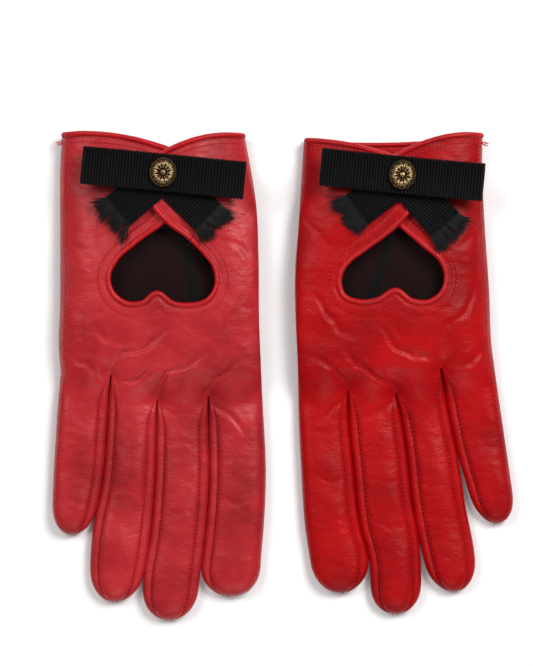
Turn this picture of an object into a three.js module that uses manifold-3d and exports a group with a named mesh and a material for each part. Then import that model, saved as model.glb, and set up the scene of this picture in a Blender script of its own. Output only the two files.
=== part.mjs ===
// A pair of women's leather driving gloves, lying palm down with the thumbs tucked under the palms.
// Millimetres, +Z up. Fingers point to -Y and cuffs to +Y. The right-hand glove is on the -X side.
// Each glove is cut from sheets: a back with a heart-shaped opening closed by two lapped tabs, a palm,
// and, on each finger, a back strip, a palm strip and the side strips (fourchettes) sewn between fingers.
import * as THREE from 'three';
import { mergeVertices } from 'three/addons/utils/BufferGeometryUtils.js';
import Module from 'manifold-3d';

const wasm = await Module();
wasm.setup();

// Thicknesses and clearances.
const LEATHER = 0.9;
const LINING = 0.45;
const RIBBON = 0.6;
const CLEARANCE = 0.35;
const MERGE_WITHIN = 1e-4;
const LINING_DROP = LEATHER / 2 + CLEARANCE + LINING / 2;

// Heights above the table, to the middle of each sheet.
const PALM_Z = LEATHER / 2;
const KNUCKLE_Z = 10.2;
const CUFF_Z = 13.5;
const CROWN_Z = 17.6;
const EDGE_Z = 5;
const THUMB_LIFT = 8.6;
const EDGE_LIFT = 6;
const TAB_LIFT = 3.2;

// How the back's and the palm's sheets fall from the middle to the sides: the higher, the flatter in the middle.
const BACK_ROLL = 5;
const PALM_ROLL = 9;

// The height of the back's middle line from the finger roots to the cuff.
const CROWN_LINE = [[-13, KNUCKLE_Z], [3, 16.4], [24, CROWN_Z], [50, CROWN_Z], [72, 15.6], [108, CUFF_Z]];

// Where the palm is lifted by the tucked thumb: by distance from the thumb hole, and by how far towards the cuff.
const LIFTED = { full: 52, none: 65, cuffFull: 13, cuffNone: 34 };
const CUFF_DIP = 4;

// The thumb: a flattened tube whose round mouth faces up into the palm's hole.
const THUMB = { thick: 8.2, half: 12.2, reach: 50, hole: 11, mouth: 8.2, liningMouth: 7.6, taper: 0.86, tucked: 33 };

// The bow and its stud.
const BOW = { length: 71, width: 16, height: 3 };
const STUD = { halfX: 6, halfY: 6.5, dome: 3.2, rim: 1.1, shank: 1.2, plate: 4.6, plateThick: 0.8 };
const BEAD_RADIUS = 1;

const BEAD_SIDES = 6;
const DRILL = { low: -5, high: 60, sides: 10 };
const LABEL = { width: 18, length: 12, thick: 0.5, lift: 2.8, at: [-58, 70] };

// A finger: the radius of its tip seen from above, its height at the root and the tip, and the tip's thin end.
const FINGER = { tipRadius: 13, height: 10, tipDrop: 0.8, tipEdge: 2.2, tipRoll: 8 };
const TIP_GAPS = [8.5, 5, 2.6, 1.2];

// Patterns, seen from above. Edges run from the cuff to the fingers. opening is the cut edge of the back,
// from the lower tab (little-finger side) round the heart to the upper tab (index side).
const GLOVES = {
  right: {
    toIndex: 1,
    cuff: { little: [-96.8, 105], index: [-16.8, 104.6], littleBow: 3.4, indexBow: 3.6 },
    little: [[-97.6, 92], [-98, 62], [-98, 30], [-98.2, 8]],
    index: [[-13.4, 88], [-11, 64], [-10.7, 34], [-9.8, 6]],
    opening: [
      [-46.5, 98.6], [-40.8, 88], [-43.2, 77], [-50.6, 69.3], [-65.6, 57.9], [-73.4, 50.6],
      [-76.6, 43.6], [-75, 36], [-68.5, 30.8], [-60.5, 31.3], [-55, 35.3], [-48.5, 31], [-40.2, 30],
      [-32.5, 32.3], [-28.2, 39.5], [-29.3, 47.5], [-33.5, 53.5], [-40.9, 60.9], [-50.2, 67.8],
      [-56.5, 75.7], [-59.4, 86], [-55.8, 96.3],
    ],
    thumbHole: [-28.6, 53],
    bow: { at: [-52, 88], tilt: -5.5, tails: [[-78.5, 66.5], [-26.5, 62.5]] },
    fingers: {
      little: { base: [-87, -1.5], mid: [-89.6, -40], tip: [-91.3, -70], widths: [22.4, 21, 19] },
      ring: { base: [-65.9, -13], mid: [-68.2, -50], tip: [-73, -99.3], widths: [20.6, 21.8, 23] },
      middle: { base: [-44, -13], mid: [-44.7, -52], tip: [-50, -107.3], widths: [21.8, 23, 23.4] },
      index: { base: [-20.9, -11], mid: [-20.1, -50], tip: [-24, -96.8], widths: [23.2, 24.4, 24.4] },
    },
  },
  left: {
    toIndex: -1,
    cuff: { little: [87.4, 104.8], index: [10, 102.8], littleBow: 4, indexBow: 2.2 },
    little: [[87.2, 88], [88.6, 62], [91, 30], [92, 8]],
    index: [[8, 84], [5.9, 56], [5.2, 32], [6.4, 6]],
    opening: [
      [46, 95.6], [39.8, 86], [42, 76], [49.3, 68.2], [62.3, 56.6], [69.5, 50],
      [71.6, 43.1], [70, 36.5], [64.2, 31.7], [55.5, 32], [48.8, 36.5], [42, 32.6], [32.6, 31.5],
      [25.8, 34.5], [23.8, 40.5], [25.5, 47], [29.5, 51.5], [35.2, 55.6], [49.1, 66.5],
      [55.6, 74.5], [58.9, 84], [54.6, 94],
    ],
    thumbHole: [23.4, 53],
    bow: { at: [51.5, 86.9], tilt: -5.5, tails: [[24, 66.5], [76.5, 60]] },
    fingers: {
      little: { base: [80.9, 1.5], mid: [86.7, -30], tip: [92.6, -64.6], widths: [22.4, 20.8, 17.4] },
      ring: { base: [60.7, -10], mid: [66.9, -47], tip: [73.6, -94.8], widths: [20.4, 21.6, 22] },
      middle: { base: [39.1, -10], mid: [43.7, -50], tip: [48.4, -104.6], widths: [20.8, 23, 22.4] },
      index: { base: [17.2, -8.5], mid: [19.8, -47], tip: [24.6, -95.4], widths: [20.6, 22.2, 23.4] },
    },
  },
};
const FINGER_ORDER = ['little', 'ring', 'middle', 'index'];

const leatherLook = { color: 0xa81f2b, roughness: 0.5, metalness: 0 };
const liningLook = { color: 0x2a1416, roughness: 0.95, metalness: 0 };
const ribbonLook = { color: 0x121214, roughness: 0.85, metalness: 0 };
const brassLook = { color: 0x7a6544, roughness: 0.45, metalness: 1 };

const group = new THREE.Group();

function addPiece(name, geometry, look) {
  const mesh = new THREE.Mesh(geometry, new THREE.MeshStandardMaterial(look));
  mesh.name = name;
  group.add(mesh);
}

function smoothstep(low, high, value) {
  const x = THREE.MathUtils.clamp((value - low) / (high - low), 0, 1);
  return x * x * (3 - 2 * x);
}

// The value at x of a curve given by its [x, value] points, straight between them.
function along(points, x) {
  const last = points.length - 1;
  const next = THREE.MathUtils.clamp(points.findIndex((p) => p[0] >= x), 0, last);
  const high = x > points[last][0] ? last : next;
  const low = Math.max(high - 1, 0);
  const span = points[high][0] - points[low][0];
  const share = span === 0 ? 0 : THREE.MathUtils.clamp((x - points[low][0]) / span, 0, 1);
  return THREE.MathUtils.lerp(points[low][1], points[high][1], share);
}

// ---------- solids from grids ----------

function gridNormal(grid, i, j, closed) {
  const rows = grid.length;
  const columns = grid[0].length;
  const before = closed ? (i + rows - 1) % rows : Math.max(i - 1, 0);
  const after = closed ? (i + 1) % rows : Math.min(i + 1, rows - 1);
  const alongRow = grid[after][j].clone().sub(grid[before][j]);
  const acrossRow = grid[i][Math.min(j + 1, columns - 1)].clone().sub(grid[i][Math.max(j - 1, 0)]);
  return alongRow.cross(acrossRow).normalize();
}

function signedVolume(positions, triangles) {
  const corner = [new THREE.Vector3(), new THREE.Vector3(), new THREE.Vector3()];
  let total = 0;
  for (let t = 0; t < triangles.length; t += 3) {
    corner.forEach((c, k) => c.fromArray(positions, 3 * triangles[t + k]));
    total += corner[0].dot(corner[1].clone().cross(corner[2])) / 6;
  }
  return total;
}

function geometryFrom(positions, triangles) {
  if (signedVolume(positions, triangles) < 0) triangles.reverse();
  const geometry = new THREE.BufferGeometry();
  geometry.setAttribute('position', new THREE.Float32BufferAttribute(positions, 3));
  geometry.setIndex(triangles);
  return geometry;
}

// A sheet of even thickness: each grid point is moved half the thickness both ways along its normal.
// closed joins the last row of the grid to the first.
function sheet(grid, thickness, closed = false) {
  const rows = grid.length;
  const columns = grid[0].length;
  const positions = [];
  for (const side of [0.5, -0.5]) {
    grid.forEach((row, i) => row.forEach((point, j) => {
      const moved = point.clone().addScaledVector(gridNormal(grid, i, j, closed), side * thickness);
      positions.push(moved.x, moved.y, moved.z);
    }));
  }
  const top = (i, j) => (i % rows) * columns + j;
  const bottom = (i, j) => rows * columns + top(i, j);
  const triangles = [];
  const quad = (a, b, c, d) => triangles.push(a, b, c, a, c, d);
  const steps = closed ? rows : rows - 1;
  for (let i = 0; i < steps; i += 1) {
    for (let j = 0; j < columns - 1; j += 1) {
      quad(top(i, j), top(i + 1, j), top(i + 1, j + 1), top(i, j + 1));
      quad(bottom(i, j), bottom(i, j + 1), bottom(i + 1, j + 1), bottom(i + 1, j));
    }
    quad(top(i, 0), bottom(i, 0), bottom(i + 1, 0), top(i + 1, 0));
    quad(top(i, columns - 1), top(i + 1, columns - 1), bottom(i + 1, columns - 1), bottom(i, columns - 1));
  }
  if (!closed) {
    for (let j = 0; j < columns - 1; j += 1) {
      quad(top(0, j), top(0, j + 1), bottom(0, j + 1), bottom(0, j));
      quad(top(rows - 1, j), bottom(rows - 1, j), bottom(rows - 1, j + 1), top(rows - 1, j + 1));
    }
  }
  return geometryFrom(positions, triangles);
}

// A bead of six-sided section along a closed ring of points.
function bead(points, radius) {
  const sides = BEAD_SIDES;
  const positions = [];
  points.forEach((point, i) => {
    const next = points[(i + 1) % points.length];
    const last = points[(i + points.length - 1) % points.length];
    const heading = next.clone().sub(last).normalize();
    const side = heading.clone().cross(new THREE.Vector3(0, 0, 1)).normalize();
    const up = side.clone().cross(heading);
    for (let k = 0; k < sides; k += 1) {
      const angle = (2 * Math.PI * k) / sides;
      const at = point.clone()
        .addScaledVector(side, radius * Math.cos(angle))
        .addScaledVector(up, radius * Math.sin(angle));
      positions.push(at.x, at.y, at.z);
    }
  });
  const triangles = [];
  for (let i = 0; i < points.length; i += 1) {
    for (let k = 0; k < sides; k += 1) {
      const a = i * sides + k;
      const b = i * sides + ((k + 1) % sides);
      const c = ((i + 1) % points.length) * sides + ((k + 1) % sides);
      const d = ((i + 1) % points.length) * sides + k;
      triangles.push(a, b, c, a, c, d);
    }
  }
  return geometryFrom(positions, triangles);
}

// ---------- booleans ----------

// A geometry's vertices joined where they meet, with only their places kept.
function mergedByPlace(geometry) {
  const bare = geometry.clone();
  bare.deleteAttribute('normal');
  bare.deleteAttribute('uv');
  return mergeVertices(bare, MERGE_WITHIN);
}

function toManifold(geometry) {
  const merged = mergedByPlace(geometry);
  return new wasm.Manifold(new wasm.Mesh({
    numProp: 3,
    vertProperties: new Float32Array(merged.attributes.position.array),
    triVerts: new Uint32Array(merged.index.array),
  }));
}

function fromManifold(solid) {
  const mesh = solid.getMesh();
  return geometryFrom(Array.from(mesh.vertProperties), Array.from(mesh.triVerts));
}

function uprightCylinder(x, y, low, high, radius, sides) {
  const geometry = new THREE.CylinderGeometry(radius, radius, high - low, sides);
  geometry.rotateX(Math.PI / 2);
  geometry.translate(x, y, (low + high) / 2);
  return geometry;
}

function drilled(geometry, at, radius) {
  const drill = uprightCylinder(at[0], at[1], DRILL.low, DRILL.high, radius, DRILL.sides);
  return fromManifold(toManifold(geometry).subtract(toManifold(drill)));
}

// ---------- the hand ----------

// The hand's shape above the table, worked out from a glove's pattern.
class Hand {
  constructor(pattern) {
    this.pattern = pattern;
    const byHeight = (points) => points.map(([x, y]) => [y, x]).sort((a, b) => a[0] - b[0]);
    const edges = (name, finger) => [finger, ...pattern[name], pattern.cuff[name]];
    const corner = (name) => fingerCorners(pattern, name);
    this.littleEdge = byHeight(edges('little', corner('little').outer));
    this.indexEdge = byHeight(edges('index', corner('index').inner));
  }

  // -1 at the little-finger edge, 1 at the index edge.
  across(x, y) {
    const little = along(this.littleEdge, y);
    const index = along(this.indexEdge, y);
    return THREE.MathUtils.clamp((2 * (x - little)) / (index - little) - 1, -1, 1);
  }

  // 1 where the tucked or swinging thumb lies under the palm, 0 where the palm lies on the table.
  raised(x, y) {
    const [holeX, holeY] = this.pattern.thumbHole;
    const away = Math.hypot(x - holeX, y - holeY);
    const { full, none, cuffFull, cuffNone } = LIFTED;
    return (1 - smoothstep(full, none, away)) * (1 - smoothstep(cuffFull, cuffNone, y - holeY));
  }

  edgeZ(x, y) {
    return EDGE_Z + EDGE_LIFT * this.raised(x, y);
  }

  backZ(x, y) {
    const crown = along(CROWN_LINE, y);
    const edge = this.edgeZ(x, y) + LEATHER / 2 + CLEARANCE / 2;
    return crown - (crown - edge) * Math.abs(this.across(x, y)) ** BACK_ROLL;
  }

  palmZ(x, y) {
    const floor = PALM_Z + THUMB_LIFT * this.raised(x, y);
    const edge = this.edgeZ(x, y) - LEATHER / 2 - CLEARANCE / 2;
    return floor + (edge - floor) * Math.abs(this.across(x, y)) ** PALM_ROLL;
  }
}

function fingerDirection(finger) {
  return new THREE.Vector2(finger.mid[0] - finger.base[0], finger.mid[1] - finger.base[1]).normalize();
}

// The two ends of a finger's root line, pulled a little way back into the hand.
function fingerCorners(pattern, name) {
  const finger = pattern.fingers[name];
  const heading = fingerDirection(finger);
  const toIndex = new THREE.Vector2(-heading.y, heading.x).multiplyScalar(pattern.toIndex);
  const half = finger.widths[0] / 2;
  const corner = (side) => [
    finger.base[0] + toIndex.x * side * half - heading.x * 3 * CLEARANCE,
    finger.base[1] + toIndex.y * side * half - heading.y * 3 * CLEARANCE,
  ];
  return { outer: corner(-1), inner: corner(1) };
}

function openingCurve(pattern) {
  const points = pattern.opening.map(([x, y]) => new THREE.Vector3(x, y, 0));
  return new THREE.CatmullRomCurve3(points, false, 'centripetal');
}

// Each station pairs a place on the opening's edge, counted in its points, with one on the outline.
function backStations(pattern) {
  const corners = FINGER_ORDER.flatMap((name) => {
    const { outer, inner } = fingerCorners(pattern, name);
    return [outer, inner];
  });
  const [l1, l2, l3, l4] = pattern.little;
  const [i1, i2, i3, i4] = pattern.index;
  const places = [0, 1.2, 3.4, 5.2, 6.4, 7.2, 8.2, 8.7, 9.3, 9.8, 10.4, 11.6, 12.6, 13.6, 14.8, 17, 19.6, 21];
  const outline = [pattern.cuff.little, l1, l2, l3, l4, ...corners, i4, i3, i2, i1, pattern.cuff.index];
  return outline.map((point, k) => ({ place: places[k], point }));
}

// How far the upper tab stands over the lower one, by place on the opening's edge.
function tabLift(place) {
  return TAB_LIFT * smoothstep(16.2, 18.6, place);
}

// A point of the back: share runs from the opening's edge, moved in by inset, to the outline.
function backPoint(hand, station, share, inset) {
  const { pattern } = hand;
  const stations = backStations(pattern);
  const k = Math.min(Math.floor(station), stations.length - 2);
  const part = station - k;
  const place = THREE.MathUtils.lerp(stations[k].place, stations[k + 1].place, part);
  const curve = openingCurve(pattern);
  const onEdge = place / (pattern.opening.length - 1);
  const inner = curve.getPoint(onEdge);
  const heading = curve.getTangent(onEdge);
  const [ax, ay] = stations[k].point;
  const [bx, by] = stations[k + 1].point;
  const outer = new THREE.Vector3(THREE.MathUtils.lerp(ax, bx, part), THREE.MathUtils.lerp(ay, by, part), 0);
  const inward = new THREE.Vector3(-heading.y, heading.x, 0);
  if (inward.dot(outer.clone().sub(inner)) < 0) inward.negate();
  const at = inner.addScaledVector(inward, inset).lerp(outer, share);
  at.y += cuffBulge(pattern, station, share);
  at.z = hand.backZ(at.x, at.y) + tabLift(place) * (1 - smoothstep(0.45, 0.95, share));
  return at;
}

// The cuff's edge bows towards the wrist between its corner and the tab, at the first and last stations.
function cuffBulge(pattern, station, share) {
  const last = backStations(pattern).length - 1;
  const { littleBow, indexBow } = pattern.cuff;
  const reach = (1 - smoothstep(0, 1, station)) * littleBow + smoothstep(last - 1, last, station) * indexBow;
  return 4 * share * (1 - share) * reach;
}

function stationList(pattern, perStation) {
  const count = (backStations(pattern).length - 1) * perStation;
  return Array.from({ length: count + 1 }, (_, k) => k / perStation);
}

function backGrid(hand, rows, inset) {
  return stationList(hand.pattern, 2).map((station) => (
    Array.from({ length: rows }, (_, j) => backPoint(hand, station, j / (rows - 1), inset))
  ));
}

function palmOutline(pattern) {
  const corners = FINGER_ORDER.flatMap((name) => {
    const { outer, inner } = fingerCorners(pattern, name);
    return [outer, inner];
  });
  const { little, index } = pattern.cuff;
  const cuffPoint = (share) => [
    THREE.MathUtils.lerp(index[0], little[0], share),
    THREE.MathUtils.lerp(index[1], little[1], share) - CUFF_DIP * share * (1 - share),
  ];
  return [
    little, ...pattern.little, ...corners, ...[...pattern.index].reverse(), index,
    ...[0.2, 0.4, 0.6, 0.8].map(cuffPoint),
  ];
}

// The palm as rings from the thumb hole to the outline.
function palmGrid(hand, rows) {
  const hole = new THREE.Vector3(...hand.pattern.thumbHole, 0);
  return palmOutline(hand.pattern).map(([x, y]) => {
    const run = new THREE.Vector3(x, y, 0).sub(hole);
    const length = run.length();
    return Array.from({ length: rows }, (_, j) => {
      const away = THREE.MathUtils.lerp(THUMB.hole, length, j / (rows - 1));
      const at = hole.clone().addScaledVector(run, away / length);
      at.z = hand.palmZ(at.x, at.y);
      return at;
    });
  });
}

// The same grid moved along its normals, upwards for a positive distance.
function offsetGrid(grid, distance, closed) {
  return grid.map((row, i) => row.map((point, j) => {
    const normal = gridNormal(grid, i, j, closed);
    return point.clone().addScaledVector(normal, Math.sign(normal.z) * distance);
  }));
}

function addHand(side, hand) {
  const { pattern } = hand;
  const back = backGrid(hand, 5, 2 * BEAD_RADIUS + CLEARANCE);
  const palm = palmGrid(hand, 7);
  const backLining = offsetGrid(back, -LINING_DROP, false).map((row) => row.slice(1, -1));
  const palmLining = offsetGrid(palm, LINING_DROP, true).map((row) => row.slice(0, -1));
  const hole = STUD.shank + CLEARANCE;
  const pierced = (grid, thickness, radius) => drilled(sheet(grid, thickness), pattern.bow.at, radius);
  addPiece(`${side}_back_leather`, pierced(back, LEATHER, hole), leatherLook);
  addPiece(`${side}_palm_leather`, sheet(palm, LEATHER, true), leatherLook);
  addPiece(`${side}_back_lining`, pierced(backLining, LINING, STUD.plate + CLEARANCE), liningLook);
  addPiece(`${side}_palm_lining`, sheet(palmLining, LINING, true), liningLook);
}

// The rolled edge binding: round the opening of the back, then back along the palm's cuff edge.
function addBinding(side, hand) {
  const { pattern } = hand;
  const stations = stationList(pattern, 2);
  const last = stations[stations.length - 1];
  const beyond = BEAD_RADIUS + CLEARANCE;
  const opening = stations.slice(1, -1).map((station) => backPoint(hand, station, 0, BEAD_RADIUS));
  const cuffRun = (station) => [0.02, 0.2, 0.4, 0.6, 0.8, 0.97].map((share) => {
    const at = backPoint(hand, station, share, BEAD_RADIUS);
    at.y += beyond;
    return at;
  });
  const { little, index } = pattern.cuff;
  const inward = (little[0] - index[0]) * 0.03;
  const underCuff = [0, 0.25, 0.5, 0.75, 1].map((share) => new THREE.Vector3(
    THREE.MathUtils.lerp(index[0] + inward, little[0] - inward, share),
    THREE.MathUtils.lerp(index[1], little[1], share) - CUFF_DIP * share * (1 - share) + beyond + CLEARANCE,
    BEAD_RADIUS + 0.5,
  ));
  const corner = ([x, y]) => new THREE.Vector3(x, y + beyond + CLEARANCE, EDGE_Z);
  const ring = [
    ...cuffRun(0).reverse(), ...opening, ...cuffRun(last), corner(index), ...underCuff, corner(little),
  ];
  addPiece(`${side}_edge_binding`, bead(ring, BEAD_RADIUS), leatherLook);
}

// ---------- fingers ----------

// A finger's middle line, direction, half width and height at a distance from its root.
class Finger {
  constructor(pattern, name) {
    const { base, mid, tip, widths } = pattern.fingers[name];
    const vector = ([x, y]) => new THREE.Vector2(x, y);
    const bend = vector(mid).multiplyScalar(2).addScaledVector(vector(base), -0.5).addScaledVector(vector(tip), -0.5);
    this.curve = new THREE.QuadraticBezierCurve(vector(base), bend, vector(tip));
    this.length = this.curve.getLength();
    this.widths = widths;
    this.toIndex = pattern.toIndex;
  }

  // 1 along the finger, falling to 0 at the tip as a quarter circle of the given radius.
  tipRound(distance, radius) {
    const past = Math.max(0, 1 - (this.length - distance) / radius);
    return Math.sqrt(Math.max(0, 1 - past * past));
  }

  at(distance) {
    const share = distance / this.length;
    const [base, mid, end] = this.widths;
    const width = along([[0, base], [0.5, mid], [0.9, end], [1, end]], share);
    const point = this.curve.getPointAt(share);
    const heading = this.curve.getTangentAt(share);
    const side = new THREE.Vector2(-heading.y, heading.x).multiplyScalar(this.toIndex);
    const height = FINGER.height - FINGER.tipDrop * share;
    return {
      point,
      side,
      half: (width / 2) * this.tipRound(distance, FINGER.tipRadius),
      height: FINGER.tipEdge + (height - FINGER.tipEdge) * this.tipRound(distance, FINGER.tipRoll),
    };
  }

  // Rows across the finger; profile gives [share of the half width, mm in from it, height] points.
  grid(stations, profile) {
    return stations.map((distance) => {
      const { point, side, half, height } = this.at(distance);
      return profile(height).map(([share, inward, z]) => {
        const away = Math.sign(share) * Math.max(Math.abs(share) * half - inward, 0.2);
        return new THREE.Vector3(point.x + side.x * away, point.y + side.y * away, z);
      });
    });
  }

  stations(count, tipGap) {
    const straight = this.length - FINGER.tipRadius;
    const shares = Array.from({ length: count }, (_, k) => (straight * k) / count);
    const rounded = [FINGER.tipRadius, ...TIP_GAPS].filter((gap) => gap >= tipGap);
    return [...shares, ...rounded.map((gap) => this.length - gap)];
  }
}

// Half of the back strip's section, from the crown to its edge: on a seam it stops high, at a fold it wraps down.
function backHalf(sign, folded) {
  const skin = LEATHER / 2;
  if (folded) {
    return (height) => [
      [sign * 0.62, 0, height - 0.5 - skin], [sign * 1, 1.2, height * 0.72],
      [sign * 1, skin, height * 0.42], [sign * 1, 1.1, LEATHER + CLEARANCE + 0.3],
    ];
  }
  return (height) => [[sign * 0.6, 0, height - 0.5 - skin], [sign * 1, 1, height * 0.76], [sign * 1, skin, height * 0.62]];
}

function addFinger(side, pattern, name) {
  const finger = new Finger(pattern, name);
  const outerFold = name === 'little';
  const innerFold = name === 'index';
  const skin = LEATHER / 2;
  const outer = backHalf(-1, outerFold);
  const inner = backHalf(1, innerFold);
  const back = (height) => [...outer(height).reverse(), [0, 0, height - skin], ...inner(height)];
  const palmInset = (folded) => (folded ? 2.2 : 1.6);
  const palm = () => [
    [-1, palmInset(outerFold), PALM_Z], [-0.3, 0, PALM_Z], [0.3, 0, PALM_Z], [1, palmInset(innerFold), PALM_Z],
  ];
  const sideStrip = (sign) => (height) => [
    [sign, 1.3, LEATHER + CLEARANCE + 0.2], [sign, skin, height * 0.3], [sign, skin, height * 0.62 - CLEARANCE - 0.45],
  ];
  const inset = LINING_DROP + skin + 0.25;
  const lining = (height) => [
    [-0.55, 0, PALM_Z + LINING_DROP], [0.55, 0, PALM_Z + LINING_DROP], [1, inset + 1.4, height * 0.3],
    [1, inset + 0.6, height * 0.6], [0.6, 0.4, height - 0.6 - skin - LINING_DROP],
    [-0.6, 0.4, height - 0.6 - skin - LINING_DROP], [-1, inset + 0.6, height * 0.6], [-1, inset + 1.4, height * 0.3],
  ];
  addPiece(`${side}_${name}_back`, sheet(finger.grid(finger.stations(5, 1.2), back), LEATHER), leatherLook);
  addPiece(`${side}_${name}_palm`, sheet(finger.grid(finger.stations(5, 1.2), palm), LEATHER), leatherLook);
  const strips = { little: [1], ring: [-1, 1], middle: [-1, 1], index: [-1] };
  const stripStations = finger.stations(6, 8.5);
  for (const sign of strips[name]) {
    const label = sign < 0 ? 'outer' : 'inner';
    const strip = sheet(finger.grid(stripStations, sideStrip(sign)), LEATHER);
    addPiece(`${side}_${name}_${label}_fourchette`, strip, leatherLook);
  }
  const rings = finger.grid(finger.stations(4, 5), lining);
  const columns = rings[0].map((_, j) => rings.map((row) => row[j]));
  addPiece(`${side}_${name}_lining`, sheet(columns, LINING, true), liningLook);
}

// ---------- thumb ----------

// A flat bag with rounded sides: a capsule outline from the mouth to the tip, bevelled to its thickness.
function thumbSolid(shrink) {
  const half = THUMB.half - shrink;
  const bevel = THUMB.thick / 2 - shrink - 0.3;
  const outline = new THREE.Shape();
  const radius = half - bevel;
  const reach = THUMB.reach - THUMB.half;
  outline.absarc(0, 0, radius, 0, Math.PI, false);
  outline.lineTo(-radius * THUMB.taper, -reach);
  outline.absarc(0, -reach, radius * THUMB.taper, Math.PI, 2 * Math.PI, false);
  const geometry = new THREE.ExtrudeGeometry(outline, {
    depth: 0.6, bevelEnabled: true, bevelThickness: bevel, bevelSize: bevel, bevelSegments: 2, curveSegments: 5,
  });
  geometry.translate(0, 0, THUMB.thick / 2 - 0.3);
  return geometry;
}

function thumbBag(outerShrink, wall, mouth) {
  const outer = toManifold(thumbSolid(outerShrink));
  const inner = toManifold(thumbSolid(outerShrink + wall));
  const opening = toManifold(uprightCylinder(0, 0, THUMB.thick / 2, THUMB.thick + 1, mouth, 16));
  return fromManifold(outer.subtract(inner).subtract(opening));
}

function addThumb(side, pattern) {
  const [x, y] = pattern.thumbHole;
  const place = (geometry) => {
    geometry.rotateZ(THREE.MathUtils.degToRad(-pattern.toIndex * THUMB.tucked));
    geometry.translate(x, y, 0);
    return geometry;
  };
  addPiece(`${side}_thumb_leather`, place(thumbBag(0, LEATHER, THUMB.mouth)), leatherLook);
  addPiece(`${side}_thumb_lining`, place(thumbBag(LEATHER + CLEARANCE, LINING, THUMB.liningMouth)), liningLook);
}

// ---------- bow and stud ----------

function placedOnTab(geometry, pattern, z) {
  geometry.rotateZ(THREE.MathUtils.degToRad(pattern.bow.tilt));
  geometry.translate(pattern.bow.at[0], pattern.bow.at[1], z);
  return geometry;
}

// The lowest level at which the ribbon clears the upper tab and its binding.
function tabTop(hand) {
  const [x, y] = hand.pattern.bow.at;
  return hand.backZ(x, y - 20) + TAB_LIFT + BEAD_RADIUS;
}

// The ribbon's loop, pressed flat: two long runs joined by a half turn at each end.
function addBowLoop(side, hand, z) {
  const half = BOW.length / 2;
  const turn = (BOW.height - RIBBON) / 2;
  const section = [];
  for (const sign of [1, -1]) {
    section.push([sign * -0.6 * half, -sign * turn], [0, -sign * turn], [sign * 0.6 * half, -sign * turn]);
    for (const angle of [-60, 0, 60]) {
      const radians = THREE.MathUtils.degToRad(angle);
      const x = half - RIBBON / 2 - turn + turn * Math.cos(radians);
      section.push([sign * x, sign * turn * Math.sin(radians)]);
    }
  }
  const rows = section.map(([x, height]) => [-1, 1].map((edge) => (
    new THREE.Vector3(x, (edge * BOW.width) / 2, height + turn + RIBBON / 2)
  )));
  const loop = placedOnTab(sheet(rows, RIBBON, true), hand.pattern, z);
  addPiece(`${side}_bow_loop`, drilled(loop, hand.pattern.bow.at, STUD.shank + CLEARANCE), ribbonLook);
}

// The ribbon's two tails: one strip, folded under the stud and fanned out towards the fingers.
function addBowTails(side, hand, z) {
  const { at, tails } = hand.pattern.bow;
  const centre = new THREE.Vector3(at[0], at[1], 0);
  const half = BOW.width / 2;
  const rowAt = (tail, share, sign) => {
    const end = new THREE.Vector3(tail[0], tail[1], 0);
    const run = end.clone().sub(centre);
    const across = new THREE.Vector3(-run.y, run.x, 0).normalize().multiplyScalar(sign * half);
    const point = centre.clone().addScaledVector(run, share);
    point.z = z + RIBBON / 2 - 0.4 * share;
    return [point.clone().add(across), point.clone().sub(across)];
  };
  const level = z + RIBBON / 2;
  const middle = [new THREE.Vector3(at[0], at[1] + half, level), new THREE.Vector3(at[0], at[1] - half, level)];
  const [first, second] = tails;
  const rows = [
    rowAt(first, 1, -1), rowAt(first, 0.7, -1), rowAt(first, 0.4, -1), middle,
    rowAt(second, 0.4, 1), rowAt(second, 0.7, 1), rowAt(second, 1, 1),
  ];
  const strip = sheet(rows, RIBBON);
  addPiece(`${side}_bow_tails`, drilled(strip, at, STUD.shank + CLEARANCE), ribbonLook);
}

// An oval dome with a flat rim and a shank down through the tabs, held by a round plate inside.
function addStud(side, hand, z, plateZ) {
  const profile = [
    [0, plateZ - z + STUD.plateThick + CLEARANCE], [STUD.shank, plateZ - z + STUD.plateThick + CLEARANCE],
    [STUD.shank, 0], [STUD.halfX, 0], [STUD.halfX, STUD.rim], [STUD.halfX * 0.8, STUD.rim + 0.5],
    [STUD.halfX * 0.45, STUD.dome - 0.5], [0, STUD.dome],
  ];
  const geometry = new THREE.LatheGeometry(profile.map(([r, h]) => new THREE.Vector2(r, h)), 16);
  geometry.rotateX(Math.PI / 2);
  geometry.scale(1, STUD.halfY / STUD.halfX, 1);
  addPiece(`${side}_stud`, placedOnTab(mergedByPlace(geometry), hand.pattern, z), brassLook);
  const [x, y] = hand.pattern.bow.at;
  const plate = uprightCylinder(x, y, plateZ, plateZ + STUD.plateThick, STUD.plate, 16);
  addPiece(`${side}_stud_backplate`, plate, brassLook);
}

// A small woven label sewn flat inside the cuff, on the palm's lining.
function addCareLabel(side, hand, at) {
  const rows = [0, 1].map((i) => [0, 1].map((j) => {
    const x = at[0] + (i - 0.5) * LABEL.width;
    const y = at[1] + (j - 0.5) * LABEL.length;
    return new THREE.Vector3(x, y, hand.palmZ(at[0], at[1]) + LABEL.lift);
  }));
  addPiece(`${side}_care_label`, sheet(rows, LABEL.thick), ribbonLook);
}

for (const [side, pattern] of Object.entries(GLOVES)) {
  const hand = new Hand(pattern);
  addHand(side, hand);
  addBinding(side, hand);
  FINGER_ORDER.forEach((name) => addFinger(side, pattern, name));
  addThumb(side, pattern);
  const tailsZ = tabTop(hand) + CLEARANCE;
  const loopZ = tailsZ + RIBBON + CLEARANCE;
  const studZ = loopZ + BOW.height + CLEARANCE;
  const plateZ = hand.backZ(...pattern.bow.at) - LEATHER / 2 - 2 * CLEARANCE - STUD.plateThick;
  addBowTails(side, hand, tailsZ);
  addBowLoop(side, hand, loopZ);
  addStud(side, hand, studZ, plateZ);
  if (side === 'right') addCareLabel(side, hand, LABEL.at);
}

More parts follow.
